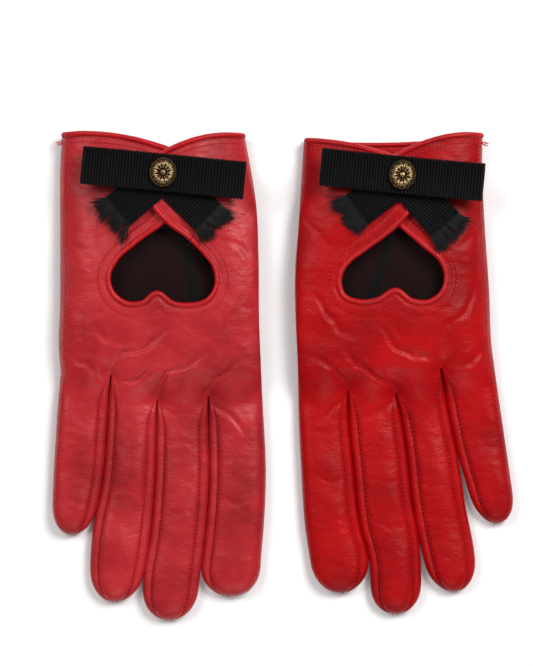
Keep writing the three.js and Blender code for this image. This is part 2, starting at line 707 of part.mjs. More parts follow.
// The origin is the middle of the pair's footprint, on the table.
const box = new THREE.Box3().setFromObject(group);
const shift = box.getCenter(new THREE.Vector3()).setZ(box.min.z);
group.position.sub(shift);
group.updateMatrixWorld(true);

export default group;
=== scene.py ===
"""A pair of women's red leather driving gloves with black ribbon bows, lying palm down.

Lengths inside the shape functions are millimetres in the gloves' cutting pattern, fingers towards -Y.
Meshes are written in metres in the shared frame, with every finished piece's object at the origin.
"""

import math

import bmesh
import bpy
import numpy as np
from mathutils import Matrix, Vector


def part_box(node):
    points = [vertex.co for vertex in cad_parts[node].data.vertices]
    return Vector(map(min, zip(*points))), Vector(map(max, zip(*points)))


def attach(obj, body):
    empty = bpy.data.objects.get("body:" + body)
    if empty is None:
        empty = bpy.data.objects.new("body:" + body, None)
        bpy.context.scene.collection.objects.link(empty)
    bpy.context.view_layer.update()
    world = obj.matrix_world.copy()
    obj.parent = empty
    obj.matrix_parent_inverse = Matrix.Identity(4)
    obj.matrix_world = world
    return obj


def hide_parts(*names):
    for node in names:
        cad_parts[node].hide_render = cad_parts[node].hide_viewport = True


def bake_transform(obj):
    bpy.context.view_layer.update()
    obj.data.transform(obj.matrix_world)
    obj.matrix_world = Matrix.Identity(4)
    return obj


bl_info = {
    "name": "Leather Driving Gloves",
    "version": (1, 0, 0),
    "blender": (4, 5, 0),
    "location": "View3D > Sidebar > Gloves",
    "description": "Builds a pair of lined leather driving gloves with ribbon bows from numpy surfaces",
    "category": "Add Mesh",
}

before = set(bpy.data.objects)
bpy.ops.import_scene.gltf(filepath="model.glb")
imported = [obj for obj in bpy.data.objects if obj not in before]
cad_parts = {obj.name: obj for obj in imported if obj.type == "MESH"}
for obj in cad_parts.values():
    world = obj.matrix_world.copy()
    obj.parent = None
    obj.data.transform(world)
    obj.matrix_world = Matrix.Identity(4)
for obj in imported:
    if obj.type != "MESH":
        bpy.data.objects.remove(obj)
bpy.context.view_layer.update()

MM = 0.001
SIDE_STRIP = 0.6
# The middle of each bow.
BOW_AT = {"right": (-52.0, 88.0), "left": (51.5, 86.9)}
SIDES = ("right", "left")
FINGERS = ("little", "ring", "middle", "index")


def frame_shift():
    """The move from the pattern's origin to the frame's, in millimetres, told by the right stud's middle."""
    low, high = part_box("right_stud")
    middle = [(a + b) / 2 / MM for a, b in zip(low, high)]
    return np.array([middle[0] - BOW_AT["right"][0], middle[1] - BOW_AT["right"][1], 0.0])


SHIFT = frame_shift()

# Each glove's pattern. side_* are the silhouette on the little finger's and the index finger's side, from
# the cuff to the fingertip's level. webs are the lines between neighbouring fingers, from crotch to parting.
# tips are the two edges of each finger past its parting, ending at the level of its tip. opening is the cut
# edge of the back, from the lower tab round the heart to the upper tab. tails are the cut ends of the bow's
# tails. creases are (line, depth, width).
PATTERN = {
    "right": {
        "side_little": [(-96.8, 105), (-97.6, 92), (-97.7, 62), (-97.8, 30), (-98.3, 12), (-97.3, -2),
                        (-98.8, -14), (-99.9, -31), (-101, -52), (-101.4, -70)],
        "side_index": [(-16.8, 104.6), (-14.6, 93), (-11.8, 75), (-10.7, 52), (-10.4, 22), (-9.6, 2),
                       (-8.6, -18), (-7.5, -44), (-8.4, -66), (-9.6, -80), (-10.4, -97)],
        "roots": {"little": (-97.4, 0.5), "index": (-9.2, -8)},
        "webs": [[(-75.2, 0.1), (-76.3, -9), (-77.3, -24), (-79.2, -46), (-83.2, -66)],
                 [(-55.2, -11.1), (-55.5, -20), (-56.3, -48), (-58.2, -70), (-61.2, -88)],
                 [(-32.6, -9), (-32.7, -20), (-32.4, -46), (-34.6, -74), (-36, -85)]],
        "tips": {"little": [None, [(-84, -70)]], "ring": [[(-84.4, -78), (-84.4, -99.4)], [(-63.6, -99.4)]],
                 "middle": [[(-61.5, -107.4)], [(-38.6, -107.4)]], "index": [[(-35.6, -97)], None]},
        "opening": [(-46.5, 98.6), (-40.8, 88), (-43.2, 77), (-50.6, 69.3), (-65.6, 57.9), (-73.4, 50.6),
                    (-76.6, 43.6), (-75, 36), (-68.5, 30.8), (-60.5, 31.3), (-55, 35.3), (-48.5, 31),
                    (-40.2, 30), (-32.5, 32.3), (-28.2, 39.5), (-29.3, 47.5), (-33.5, 53.5), (-40.9, 60.9),
                    (-50.2, 67.8), (-56.5, 75.7), (-59.4, 86), (-55.8, 96.3)],
        "cuff_bow": (3.4, 3.6),
        "thumb_hole": (-28.6, 53),
        "tails": [(-71.5, 71.5), (-32.6, 68.6)],
        "creases": [([(-77, 2), (-70, 9), (-60, 12), (-52, 19)], 1.0, 1.9),
                    ([(-74, -2), (-66, -2), (-58, 3), (-50, 5)], 0.7, 1.5),
                    ([(-56, -8), (-50, 0), (-42, 4), (-34, 12)], 0.9, 1.8),
                    ([(-33, -6), (-26, -1), (-18, 8)], 0.9, 1.7),
                    ([(-32, -11), (-25, -16), (-17, -25)], 0.8, 1.4),
                    ([(-54, -13), (-47, -17), (-38, -16)], 0.5, 1.3),
                    ([(-76, -4), (-84, 4), (-92, 9)], 0.6, 1.8),
                    ([(-31, 14), (-24, 22), (-17, 36)], 0.5, 2.4),
                    ([(-83, 24), (-78, 16), (-70, 14)], 0.5, 2.2),
                    ([(-96, 60), (-88, 55), (-80, 52)], 0.35, 2.2),
                    ([(-26, 60), (-19, 57), (-13, 50)], 0.45, 2.2),
                    ([(-30, -52), (-22, -56), (-12, -54)], 0.45, 1.2),
                    ([(-28, -38), (-19, -35), (-12, -37)], 0.35, 1.1),
                    ([(-53, -58), (-46, -60), (-38, -57)], 0.4, 1.1),
                    ([(-52, -31), (-45, -28), (-37, -31)], 0.35, 1.2),
                    ([(-75, -52), (-67, -50), (-60, -54)], 0.35, 1.2)],
        "seed": 3,
    },
    "left": {
        "side_little": [(87.4, 104.8), (87.3, 90), (88.4, 66), (90.4, 36), (91.3, 14), (93.2, -1),
                        (96.2, -21), (99, -40), (101.6, -60), (102, -65)],
        "side_index": [(9.2, 102.8), (8.2, 88), (6.8, 66), (5.2, 44), (5.4, 26), (6.4, 4), (6.9, -20),
                       (8, -42), (9.6, -66), (12, -82), (14, -95.5)],
        "roots": {"little": (92.9, 1.5), "index": (6.6, -5.5)},
        "webs": [[(68.9, 3.2), (70.7, -6), (73, -18.5), (76.4, -34)],
                 [(49.3, -7.9), (51, -15), (53.4, -28), (57, -58), (59.6, -72)],
                 [(28.4, -6.2), (28.6, -16), (31, -42), (33.8, -66), (37.4, -80)]],
        "tips": {"little": [None, [(80.4, -48), (85.4, -65)]],
                 "ring": [[(80, -57), (84.2, -80), (84.6, -94.9)], [(65.2, -94.9)]],
                 "middle": [[(60.6, -86), (60.2, -104.7)], [(38.4, -104.7)]],
                 "index": [[(36.2, -95.5)], None]},
        "opening": [(46, 95.6), (39.8, 86), (42, 76), (49.3, 68.2), (62.3, 56.6), (69.5, 50),
                    (71.6, 43.1), (70, 36.5), (64.2, 31.7), (55.5, 32), (48.8, 36.5), (42, 32.6),
                    (32.6, 31.5), (25.8, 34.5), (23.8, 40.5), (25.5, 47), (29.5, 51.5), (35.2, 55.6),
                    (49.1, 66.5), (55.6, 74.5), (58.9, 84), (54.6, 94)],
        "cuff_bow": (4.0, 2.2),
        "thumb_hole": (23.4, 53),
        "tails": [(31.7, 71.7), (70, 65.6)],
        "creases": [([(68, 5), (60, 8), (50, 12), (44, 20)], 0.9, 1.9),
                    ([(50, -6), (42, 0), (32, 4), (26, 12)], 1.0, 1.8),
                    ([(28, -4), (22, 4), (14, 8)], 0.9, 1.7),
                    ([(29, -9), (21, -16), (14, -20)], 0.8, 1.4),
                    ([(51, -10), (44, -17), (34, -18)], 0.6, 1.3),
                    ([(70, 0), (80, 6), (88, 14)], 0.7, 1.8),
                    ([(18, 30), (24, 20), (34, 16)], 0.8, 2.3),
                    ([(12, 36), (20, 26), (26, 24)], 0.6, 2.0),
                    ([(84, 40), (79, 28), (72, 20)], 0.6, 2.2),
                    ([(88, 66), (80, 60), (74, 56)], 0.45, 2.2),
                    ([(10, 68), (18, 60), (22, 56)], 0.45, 2.2),
                    ([(30, -44), (21, -47), (12, -44)], 0.45, 1.2),
                    ([(33, -66), (24, -62), (14, -66)], 0.35, 1.1),
                    ([(53, -44), (43, -47), (35, -44)], 0.4, 1.2),
                    ([(56, -64), (47, -66), (38, -62)], 0.4, 1.1),
                    ([(72, -46), (66, -50), (60, -47)], 0.35, 1.2)],
        "seed": 11,
    },
}

# The height of the back's middle line at each y.
CROWN_LINE = [(-110, 10.6), (-13, 10.8), (3, 16.2), (24, 17.9), (50, 17.9), (72, 16), (108, 13.9)]
# Heights above the table: the side seams, their rise over the thumb, the palm over the thumb and the fingers.
EDGE_Z = 5.0
EDGE_LIFT = 6.0
THUMB_LIFT = 8.6
FINGER_H = 10.2
# The upper tab lies this far above the lower one, which is pressed down by this much.
TAB_LIFT = 3.2
TAB_PRESS = 1.2
# A finger's faces leave the hand's over this length.
ROOT_BLEND = 15.0
# The flat band along the opening's edge, and its share of the way out to the outline.
BAND = 3.0
BAND_SHARE = 0.08
PALM_CUFF_DIP = {"right": 10.0, "left": 2.5}
CUFF_FACING_Y = 93.0
# How far the back's seams lie in from a finger's sides, and the palm's.
SEAM_INSET = 3.9
PALM_INSET = 1.5
# For each mark round the outline from cuff to cuff, the opening's point that it is joined to.
PLACES = (0, 1.2, 3.4, 5.2, 6.4, 7.7, 10.1, 12.0, 13.6, 14.8, 17, 19.6, 21)
STITCH_ROWS = (2.7, 4.1)
CUFF_STITCH_ROWS = (1.6, 3.6)
RIB = 1.3
RIBBON_WIDTH = 16.0
RIBBON_THICKNESS = 0.4
RIBBON_COLUMNS = np.r_[-1, -0.985, np.linspace(-0.95, 0.95, 11), 0.985, 1]
BOW_TURN = math.radians(-5.5)
LOOP_HALF_LENGTH = 35.5
THUMB = {"half_width": 12.2, "length": 50.0, "thickness": 8.2, "mouth": 8.2, "taper": 0.86, "tucked": 33.0}
STUD = {"half_width": 5.9, "half_length": 6.4, "depth": 3.2, "petals": 12, "beads": 16, "notches": 48}
# Each light's place in metres, and its share of the light power.
LIGHTS = (("key", (0.55, 0.5, 1.0), 1.05),
          ("fill", (-0.6, 0.45, 1.0), 0.5),
          ("front", (0.1, -1.0, 0.8), 0.25))
LIGHT_SIZE = 0.5
SENSOR = 36.0
CAMERA_HEIGHT = 1.5
VIEW_LENGTH = 293.0
VIEW_MIDDLE = (-7.26, 18.5)
GLOSS = {"right_leather": 0.34, "left_leather": 0.18, "binding_leather": 0.34}
SEAM_TAPES = {"right": ((-47, 70), (-38.5, 27)), "left": ((47.5, 70), (36, 27))}


# ---------- numbers ----------

def smooth(low, high, x):
    """0 below low, 1 above high, and 3t^2 - 2t^3 between."""
    t = np.clip((x - low) / (high - low), 0, 1)
    return t * t * (3 - 2 * t)


def mix(a, b, t):
    """a at t = 0 and b at t = 1, in a straight line."""
    return a + (b - a) * t


def value_noise(x, y, scale, seed):
    """Random numbers on a square lattice of the given spacing, blended smoothly between its corners."""
    lattice = np.random.default_rng(seed).uniform(-1, 1, (64, 64))
    u, v = x / scale, y / scale
    i, j = np.floor(u).astype(int), np.floor(v).astype(int)
    fu, fv = smooth(0, 1, u - i), smooth(0, 1, v - j)
    corner = lambda di, dj: lattice[(i + di) % 64, (j + dj) % 64]
    return mix(mix(corner(0, 0), corner(1, 0), fu), mix(corner(0, 1), corner(1, 1), fu), fv)


def unit(v):
    """Vectors of length one with the same directions."""
    return v / np.maximum(np.linalg.norm(v, axis=-1, keepdims=True), 1e-12)


def lengths(points):
    """The running length along a line of points, from 0."""
    return np.r_[0, np.cumsum(np.linalg.norm(np.diff(points, axis=0), axis=1))]


def read(points, run, at):
    """The points of a line at some of its running lengths."""
    return np.stack([np.interp(at, run, column) for column in points.T], -1)


def without_doubles(points):
    """A line of points less those that repeat the one before."""
    return points[np.r_[True, np.linalg.norm(np.diff(points, axis=0), axis=1) > 1e-6]]


class Path:
    """A smooth curve through points, read by length: cubic pieces with slopes from the chords beside them."""

    def __init__(self, points):
        knots = np.asarray(points, float)
        chord = lengths(knots)
        slopes = np.gradient(knots, chord, axis=0)
        fine = np.unique(np.r_[chord, np.linspace(0, chord[-1], 40 * len(knots))])
        k = np.clip(np.searchsorted(chord, fine, "right") - 1, 0, len(knots) - 2)
        span = (chord[k + 1] - chord[k])[:, None]
        t = (fine[:, None] - chord[k][:, None]) / span
        self.points = ((1 + 2 * t) * (1 - t) ** 2 * knots[k] + t * (1 - t) ** 2 * span * slopes[k]
                       + t * t * (3 - 2 * t) * knots[k + 1] + t * t * (t - 1) * span * slopes[k + 1])
        self.run = lengths(self.points)
        self.length = self.run[-1]
        self.knot_run = np.interp(chord, fine, self.run)

    def at(self, distance):
        """The points at these distances; past either end the curve goes on straight."""
        distance = np.asarray(distance, float)
        inside = read(self.points, self.run, distance)
        first = self.points[1] - self.points[0]
        last = self.points[-1] - self.points[-2]
        before = np.minimum(distance, 0)[..., None] * first / np.linalg.norm(first)
        after = np.maximum(distance - self.length, 0)[..., None] * last / np.linalg.norm(last)
        return inside + before + after

    def heading(self, distance, step=0.2):
        """The curve's direction at these distances, taken over a step each way."""
        run = self.at(np.asarray(distance) + step) - self.at(np.asarray(distance) - step)
        return run / np.maximum(np.linalg.norm(run, axis=-1, keepdims=True), 1e-9)


def to_polyline(x, y, points):
    """(distance, share of the length) from each x, y to a line of straight pieces."""
    line = np.asarray(points, float)
    runs = lengths(line)
    best = np.full(np.shape(x), 1e9)
    share = np.zeros(np.shape(x))
    for k in range(len(line) - 1):
        step = line[k + 1] - line[k]
        t = np.clip(((x - line[k, 0]) * step[0] + (y - line[k, 1]) * step[1]) / (step @ step), 0, 1)
        away = np.hypot(x - line[k, 0] - t * step[0], y - line[k, 1] - t * step[1])
        closer = away < best
        best = np.where(closer, away, best)
        share = np.where(closer, (runs[k] + t * (runs[k + 1] - runs[k])) / runs[-1], share)
    return best, share


def normals_of(points, wrap=False):
    """Unit normals of a grid of points: the cross product of its two central differences."""
    if wrap:
        along = np.roll(points, -1, 0) - np.roll(points, 1, 0)
    else:
        along = np.gradient(points, axis=0)
    across = np.gradient(points, axis=1)
    return unit(np.cross(along, across))


# ---------- the gloves' shape ----------

class Glove:
    """One glove's edges and heights, as functions over its pattern."""

    def __init__(self, side):
        self.side = side
        self.p = PATTERN[side]
        self.to_index = 1 if side == "right" else -1
        self.edges = {name: self.edge_table(self.p["side_" + name]) for name in ("little", "index")}
        self.crotches = [web[0] for web in self.p["webs"]]

    def edge_table(self, points):
        """(y, x) along a side's silhouette, in rising order of y."""
        curve = Path(points).points
        order = np.argsort(curve[:, 1])
        return curve[order, 1], curve[order, 0]

    def across(self, x, y):
        """-1 at the little finger's silhouette and 1 at the index finger's."""
        little = np.interp(y, *self.edges["little"])
        index = np.interp(y, *self.edges["index"])
        return np.clip(2 * (x - little) / (index - little) - 1, -1, 1)

    def raised(self, x, y):
        """1 where the tucked thumb lies under the palm, 0 where the palm lies on the table."""
        hole = self.p["thumb_hole"]
        away = np.hypot(x - hole[0], y - hole[1])
        return (1 - smooth(52, 65, away)) * (1 - smooth(13, 34, y - hole[1]))

    def edge_z(self, x, y):
        """The height of the side seams."""
        return EDGE_Z + EDGE_LIFT * self.raised(x, y)

    def folds(self, x, y):
        """Soft creases: a trough with a low ridge on each side, along listed lines, over slow swells."""
        seed = self.p["seed"]
        total = 0.85 * value_noise(x, y, 21, seed) + 0.27 * value_noise(x + 0.4 * y, y, 9.5, seed + 1)
        total = total + 0.1 * value_noise(x, 1.7 * y, 4.2, seed + 2)
        total = total + 0.035 * value_noise(x, 1.5 * y, 1.9, seed + 5)
        warp_x = x + 1.6 * value_noise(x, y, 7, seed + 3)
        warp_y = y + 1.6 * value_noise(x, y, 7, seed + 4)
        for points, depth, width in self.p["creases"]:
            away, share = to_polyline(warp_x, warp_y, points)
            t = (away / (0.75 * width)) ** 2
            taper = np.sin(np.pi * (0.06 + 0.88 * share))
            total = total - 0.9 * depth * (1 - 0.55 * t) * np.exp(-0.5 * t) * taper
        return total

    def back_z(self, x, y):
        """The back's outer face: the crown line, rolled down to the edge as (1 - |u|^5)^0.55, with folds."""
        crown = np.interp(y, *np.transpose(CROWN_LINE))
        edge = self.edge_z(x, y) + 0.3
        roll = (1 - np.abs(self.across(x, y)) ** 5) ** 0.55
        z = edge + (crown - edge) * roll + self.folds(x, y) * smooth(0, 0.5, roll)
        for crotch in self.crotches:
            away = np.hypot(x - crotch[0], 0.7 * (y - crotch[1]))
            z = z - 3.4 * np.exp(-((away / 3.4) ** 1.3)) - 1.4 * np.exp(-((away / 9) ** 2))
        return z

    def palm_z(self, x, y):
        """The palm's outer, lower face: flat on the table or over the thumb, curling up at the edges."""
        floor = THUMB_LIFT * self.raised(x, y)
        edge = self.edge_z(x, y) - 0.3
        return edge - (edge - floor) * (1 - np.abs(self.across(x, y)) ** 7) ** 0.5

    def outline(self):
        """(little side, the finger roots' corners, index side) of the hand's outline, from cuff to cuff."""
        cut = lambda name: [q for q in self.p["side_" + name] if q[1] > self.p["roots"][name][1] + 4]
        little = Path(cut("little") + [self.p["roots"]["little"]])
        index = Path([self.p["roots"]["index"]] + cut("index")[::-1])
        corners = [little.at(little.length), *[np.array(c, float) for c in self.crotches], index.at(0)]
        return little, corners, index


class Back:
    """The back of the hand: straight lines from the opening's edge out to the outline, carried round it."""

    def __init__(self, glove):
        self.glove = glove
        self.opening = Path(glove.p["opening"])
        little, corners, index = glove.outline()
        roots = [np.linspace(a, b, 24) for a, b in zip(corners, corners[1:])]
        self.line = without_doubles(np.concatenate([little.points, *roots, index.points]))
        self.line_run = lengths(self.line)
        at_y = lambda points, y: np.argmin(np.abs(points[:, 1] - y))
        keys = [0, *[little.run[at_y(little.points, y)] for y in (92, 62, 30)], little.length]
        start = little.length
        for a, b in zip(corners, corners[1:]):
            start = start + np.linalg.norm(b - a)
            keys.append(start)
        keys += [start + index.run[at_y(index.points, y)] for y in (30, 62, 90)] + [self.line_run[-1]]
        self.keys = np.array(keys)

    def columns(self, count):
        """Lengths along the outline, evenly spread and with one on every finger root's corner."""
        marks = np.r_[0, self.keys[4:9], self.keys[-1]]
        steps = np.maximum(np.round(count * np.diff(marks) / marks[-1]).astype(int), 2)
        runs = [np.linspace(a, b, n, endpoint=False) for a, b, n in zip(marks, marks[1:], steps)]
        return np.r_[np.concatenate(runs), marks[-1]]

    def edge(self, run):
        """(point, inward direction, place) on the opening's edge for each length along the outline."""
        place = np.interp(run, self.keys, PLACES)
        distance = np.interp(place, np.arange(len(self.opening.knot_run)), self.opening.knot_run)
        point = self.opening.at(distance)
        heading = self.opening.heading(distance, 3.0)
        away = np.stack([-heading[..., 1], heading[..., 0]], -1) * -self.glove.to_index
        return point, away, place

    def lift(self, place, share):
        """The upper tab rises over the lower one, most at the opening's edge."""
        return TAB_LIFT * smooth(16.2, 18.6, place) * (1 - smooth(0.45, 0.95, share))

    def band(self, run, inward):
        """Points a given distance in from the opening's edge, on the outer face."""
        point, away, place = self.edge(run)
        flat = point + away * np.asarray(inward)[..., None]
        z = self.glove.back_z(flat[..., 0], flat[..., 1]) + self.lift(place, 0.0) - self.press(place)
        return np.concatenate([flat, z[..., None]], -1)

    def press(self, place):
        """The lower tab is pressed down a little under the upper one."""
        return TAB_PRESS * (1 - smooth(1.5, 3.2, place))

    def points(self, run, share):
        """The outer face, from the opening's edge at share 0 straight out to the outline at 1.

        The first BAND millimetres follow the opening. The hem is raised as far as its stitches, with a groove
        beside the rolled edge.
        """
        point, away, place = self.edge(run)
        outer = read(self.line, self.line_run, run)
        near = np.clip(share / BAND_SHARE, 0, None)[..., None]
        start = point + away * BAND
        far = ((share - BAND_SHARE) / (1 - BAND_SHARE))[..., None]
        flat = np.where(near < 1, point + away * (BAND * near), start + (outer - start) * far)
        first, last = self.glove.p["cuff_bow"]
        reach = (1 - smooth(0, self.keys[1], run)) * first
        reach = reach + smooth(self.keys[-2], self.keys[-1], run) * last
        flat[..., 1] += 4 * share * (1 - share) * reach
        x, y = flat[..., 0], flat[..., 1]
        z = self.glove.back_z(x, y) + self.lift(place, share) - self.press(place) * (1 - share)
        beyond = BAND + np.linalg.norm(flat - start, axis=-1)
        inward = np.where(near[..., 0] < 1, BAND * near[..., 0], beyond)
        hem = 0.35 * smooth(STITCH_ROWS[1] + 0.9, STITCH_ROWS[1] - 0.2, inward)
        z = z + hem - 0.3 * np.exp(-(((inward - 1.1) / 0.5) ** 2))
        return np.concatenate([flat, z[..., None]], -1)


class Finger:
    """One finger as rows across it: between two edge lines, with the tip closed as a rounded end."""

    def __init__(self, glove, name):
        self.glove = glove
        self.name = name
        k = FINGERS.index(name)
        webs, tips, roots = glove.p["webs"], glove.p["tips"][name], glove.p["roots"]
        below = lambda side, y: [q for q in glove.p["side_" + side] if q[1] < y - 3]
        outer = webs[k - 1] + tips[0] if k else [roots["little"]] + below("little", roots["little"][1])
        inner = webs[k] + tips[1] if k < 3 else [roots["index"]] + below("index", roots["index"][1])
        self.edge = {"outer": Path(outer), "inner": Path(inner)}
        self.fold = {"outer": k == 0, "inner": k == 3}
        self.length = (self.edge["outer"].length + self.edge["inner"].length) / 2
        self.seed = glove.p["seed"] + 20 + k

    def rows(self, count):
        """Shares of the length: even along the finger, closer together round the tip."""
        straight = np.linspace(0, 1 - 16 / self.length, count, endpoint=False)
        tip = 1 - 16 / self.length * (1 - np.sin(np.linspace(0, np.pi / 2, 26)))
        return np.r_[straight, tip]

    def round_off(self, share, radius, power=2.2):
        """1 along the finger, falling to 0 at its tip as (1 - t^power)^(1/power) over the last radius."""
        past = np.clip(1 - (1 - share) * self.length / radius, 0, 1)
        return (1 - past ** power) ** (1 / power)

    def frame(self, share):
        """(middle, half width vector, half width, depth along the finger) at each share of the length."""
        outer = self.edge["outer"].at(share * self.edge["outer"].length)
        inner = self.edge["inner"].at(share * self.edge["inner"].length)
        slim = self.round_off(share, 13.5)
        half = (inner - outer) / 2 * slim[..., None]
        return (inner + outer) / 2, half, np.linalg.norm(half, axis=-1), share * self.length

    def inset(self, share, side):
        """How far the back's edge lies in from the finger's side: little at the crotch, then SEAM_INSET."""
        if self.fold[side]:
            return np.zeros_like(share)
        depth = share * self.length
        return (0.3 + (SEAM_INSET - 0.3) * smooth(-3, 14, depth)) * self.round_off(share, 15, 2) * 0.97

    def height(self, share):
        """The crown's height along the finger, swelling slowly and rounded off at the tip."""
        swell = 0.5 * value_noise(share * self.length, 0 * share, 17, self.seed)
        return 3.2 + (FINGER_H - 0.8 * share + swell - 3.2) * self.round_off(share, 9, 2)

    def across(self, share, lateral, under=False):
        """(x and y, depth) between the back's or the palm's two edges, at lateral -1 to 1."""
        middle, half, width, depth = self.frame(share)
        width = np.maximum(width, 0.05)
        low = self.palm_inset(share, "outer") if under else self.inset(share, "outer")
        high = self.palm_inset(share, "inner") if under else self.inset(share, "inner")
        reach = np.where(lateral < 0, 1 - low / width, 1 - high / width)
        reach = np.maximum(reach, 0.02)
        return middle + half * (lateral * reach)[..., None], depth

    def palm_inset(self, share, side):
        """How far the palm's edge lies in from the finger's side."""
        if self.fold[side]:
            return np.zeros_like(share)
        return PALM_INSET * smooth(-2, 8, share * self.length) * self.round_off(share, 14, 2)

    def top(self, share, lateral):
        """The back strip: the finger's crown falling as |a|^3 to a seam, or as a quarter roll to a fold."""
        flat, depth = self.across(share, lateral)
        x, y = flat[..., 0], flat[..., 1]
        crown = self.height(share)
        side = np.abs(lateral)
        seam_drop = 0.15 * side ** 2.2 + 0.15 * side ** 13
        fold_drop = 0.55 * (1 - (1 - side ** 4.2) ** 0.55)
        folded = np.where(lateral < 0, self.fold["outer"], self.fold["inner"])
        drop = np.where(folded, fold_drop, seam_drop)
        z = crown * (1 - drop) + self.folds(share, x, y) * (1 - side ** 4)
        z = mix(self.glove.back_z(x, y), z, smooth(0, ROOT_BLEND, depth))
        return np.concatenate([flat, z[..., None]], -1)

    def folds(self, share, x, y):
        """The glove's folds, fading towards the tip."""
        fade = smooth(0, 12, (1 - share) * self.length)
        return self.glove.folds(x, y) * (0.35 + 0.65 * fade)

    def bottom(self, share, lateral):
        """The palm strip: flat on the table, rising to the side strips, or to a fold."""
        flat, depth = self.across(share, lateral, under=True)
        x, y = flat[..., 0], flat[..., 1]
        side = np.abs(lateral)
        crown = self.height(share)
        tip_rise = 3.2 * (1 - self.round_off(share, 3.5, 2))
        seam_rise = 0.1 * side ** 6
        fold_rise = 0.45 * (1 - (1 - side ** 6) ** 0.5)
        folded = np.where(lateral < 0, self.fold["outer"], self.fold["inner"])
        z = tip_rise + (crown - tip_rise) * np.where(folded, fold_rise, seam_rise)
        z = mix(self.glove.palm_z(x, y), z, smooth(0, ROOT_BLEND, depth))
        return np.concatenate([flat, z[..., None]], -1)

    def strip(self, share, turn, side):
        """A fourchette: a narrow roll beside the back's seam, a bulge to the full width, then under."""
        sign = -1.0 if side == "outer" else 1.0
        start = self.top(share, np.full_like(share, sign))
        end = self.bottom(share, np.full_like(share, sign))
        middle, half, _, _ = self.frame(share)
        rim = middle + half * sign
        chord = mix(start[..., :2], end[..., :2], turn[..., None])
        bulge = np.sin(np.pi * np.clip(turn, 0, 1)) ** 0.75
        flat = chord + (rim - chord) * bulge[..., None]
        wide = self.inset(share, side) / SEAM_INSET
        roll = 1.35 * wide * (1 - np.exp(-((turn / 0.08) ** 2))) * (1 - turn) ** 2.5
        z = mix(start[..., 2], end[..., 2], turn ** 1.15) + roll
        return np.concatenate([flat, z[..., None]], -1)


GLOVE = {side: Glove(side) for side in SIDES}
BACK = {side: Back(GLOVE[side]) for side in SIDES}
FINGER = {side: {name: Finger(GLOVE[side], name) for name in FINGERS} for side in SIDES}


# ---------- meshes ----------

def size(name):
    """One of the sidebar's sizes, in millimetres."""
    return getattr(bpy.context.scene.glove_sizes, name) / MM


def write_mesh(name, points, faces, normals=None, uv=None):
    """A mesh object from points in pattern millimetres and rows of four corners each."""
    faces = np.asarray(faces)
    mesh = bpy.data.meshes.new(name)
    count, corners = faces.shape
    mesh.vertices.add(len(points))
    mesh.vertices.foreach_set("co", ((np.asarray(points) + SHIFT) * MM).astype(np.float32).ravel())
    mesh.loops.add(count * corners)
    mesh.loops.foreach_set("vertex_index", faces.astype(np.int32).ravel())
    mesh.polygons.add(count)
    mesh.polygons.foreach_set("loop_start", np.arange(0, count * corners, corners, dtype=np.int32))
    mesh.polygons.foreach_set("use_smooth", np.ones(count, bool))
    if uv is not None:
        layer = mesh.uv_layers.new(name="UVMap")
        layer.data.foreach_set("uv", (np.asarray(uv)[faces.ravel()] * MM).astype(np.float32).ravel())
    mesh.update(calc_edges=True)
    if mesh.validate():
        raise RuntimeError(f"{name}: the mesh had faces that Blender had to mend")
    if normals is not None:
        mesh.normals_split_custom_set_from_vertices(np.asarray(normals, float).tolist())
    obj = bpy.data.objects.new(name, mesh)
    bpy.context.scene.collection.objects.link(obj)
    return obj


def grid_faces(rows, columns, wrap_rows=False, wrap_columns=False):
    """The four corners of every cell of a grid whose points are numbered row by row."""
    i = np.arange(rows if wrap_rows else rows - 1)
    j = np.arange(columns if wrap_columns else columns - 1)
    i, j = [g.ravel() for g in np.meshgrid(i, j, indexing="ij")]
    up, on = (i + 1) % rows, (j + 1) % columns
    return np.stack([i * columns + j, up * columns + j, up * columns + on, i * columns + on], -1)


def grid_uv(points):
    """Lengths along the middle row and column of a grid, in millimetres, for each of its points."""
    rows, columns = points.shape[:2]
    down = lengths(points[:, columns // 2])
    over = lengths(points[rows // 2])
    return np.stack(np.meshgrid(down, over, indexing="ij"), -1).reshape(-1, 2)


def shell(name, points, outward, thickness, wrap=False):
    """A closed sheet: a grid's outer face, the same face moved in by the thickness, and a rim between."""
    rows, columns = points.shape[:2]
    total = rows * columns
    outer = points.reshape(-1, 3)
    normals = outward.reshape(-1, 3)
    faces = grid_faces(rows, columns, wrap_rows=wrap)
    a, b, c = outer[faces[:, 0]], outer[faces[:, 1]], outer[faces[:, 3]]
    facing = np.sum(np.cross(b - a, c - a) * normals[faces[:, 0]])
    if facing < 0:
        faces = faces[:, ::-1]
    rims = []
    index = np.arange(total).reshape(rows, columns)
    borders = [(index[:, 0], wrap), (index[::-1, -1], wrap)]
    if not wrap:
        borders += [(index[-1, :], False), (index[0, ::-1], False)]
    for line, closed in borders:
        ahead = np.roll(line, -1) if closed else line[1:]
        here = line if closed else line[:-1]
        rims.append(np.stack([here, here + total, ahead + total, ahead], -1))
    rims = np.concatenate(rims)
    if facing < 0:
        rims = rims[:, ::-1]
    everything = np.concatenate([faces, faces[:, ::-1] + total, rims])
    where = np.concatenate([outer, outer - normals * thickness])
    uv = grid_uv(points)
    return write_mesh(name, where, everything, np.concatenate([normals, -normals]), np.concatenate([uv, uv]))


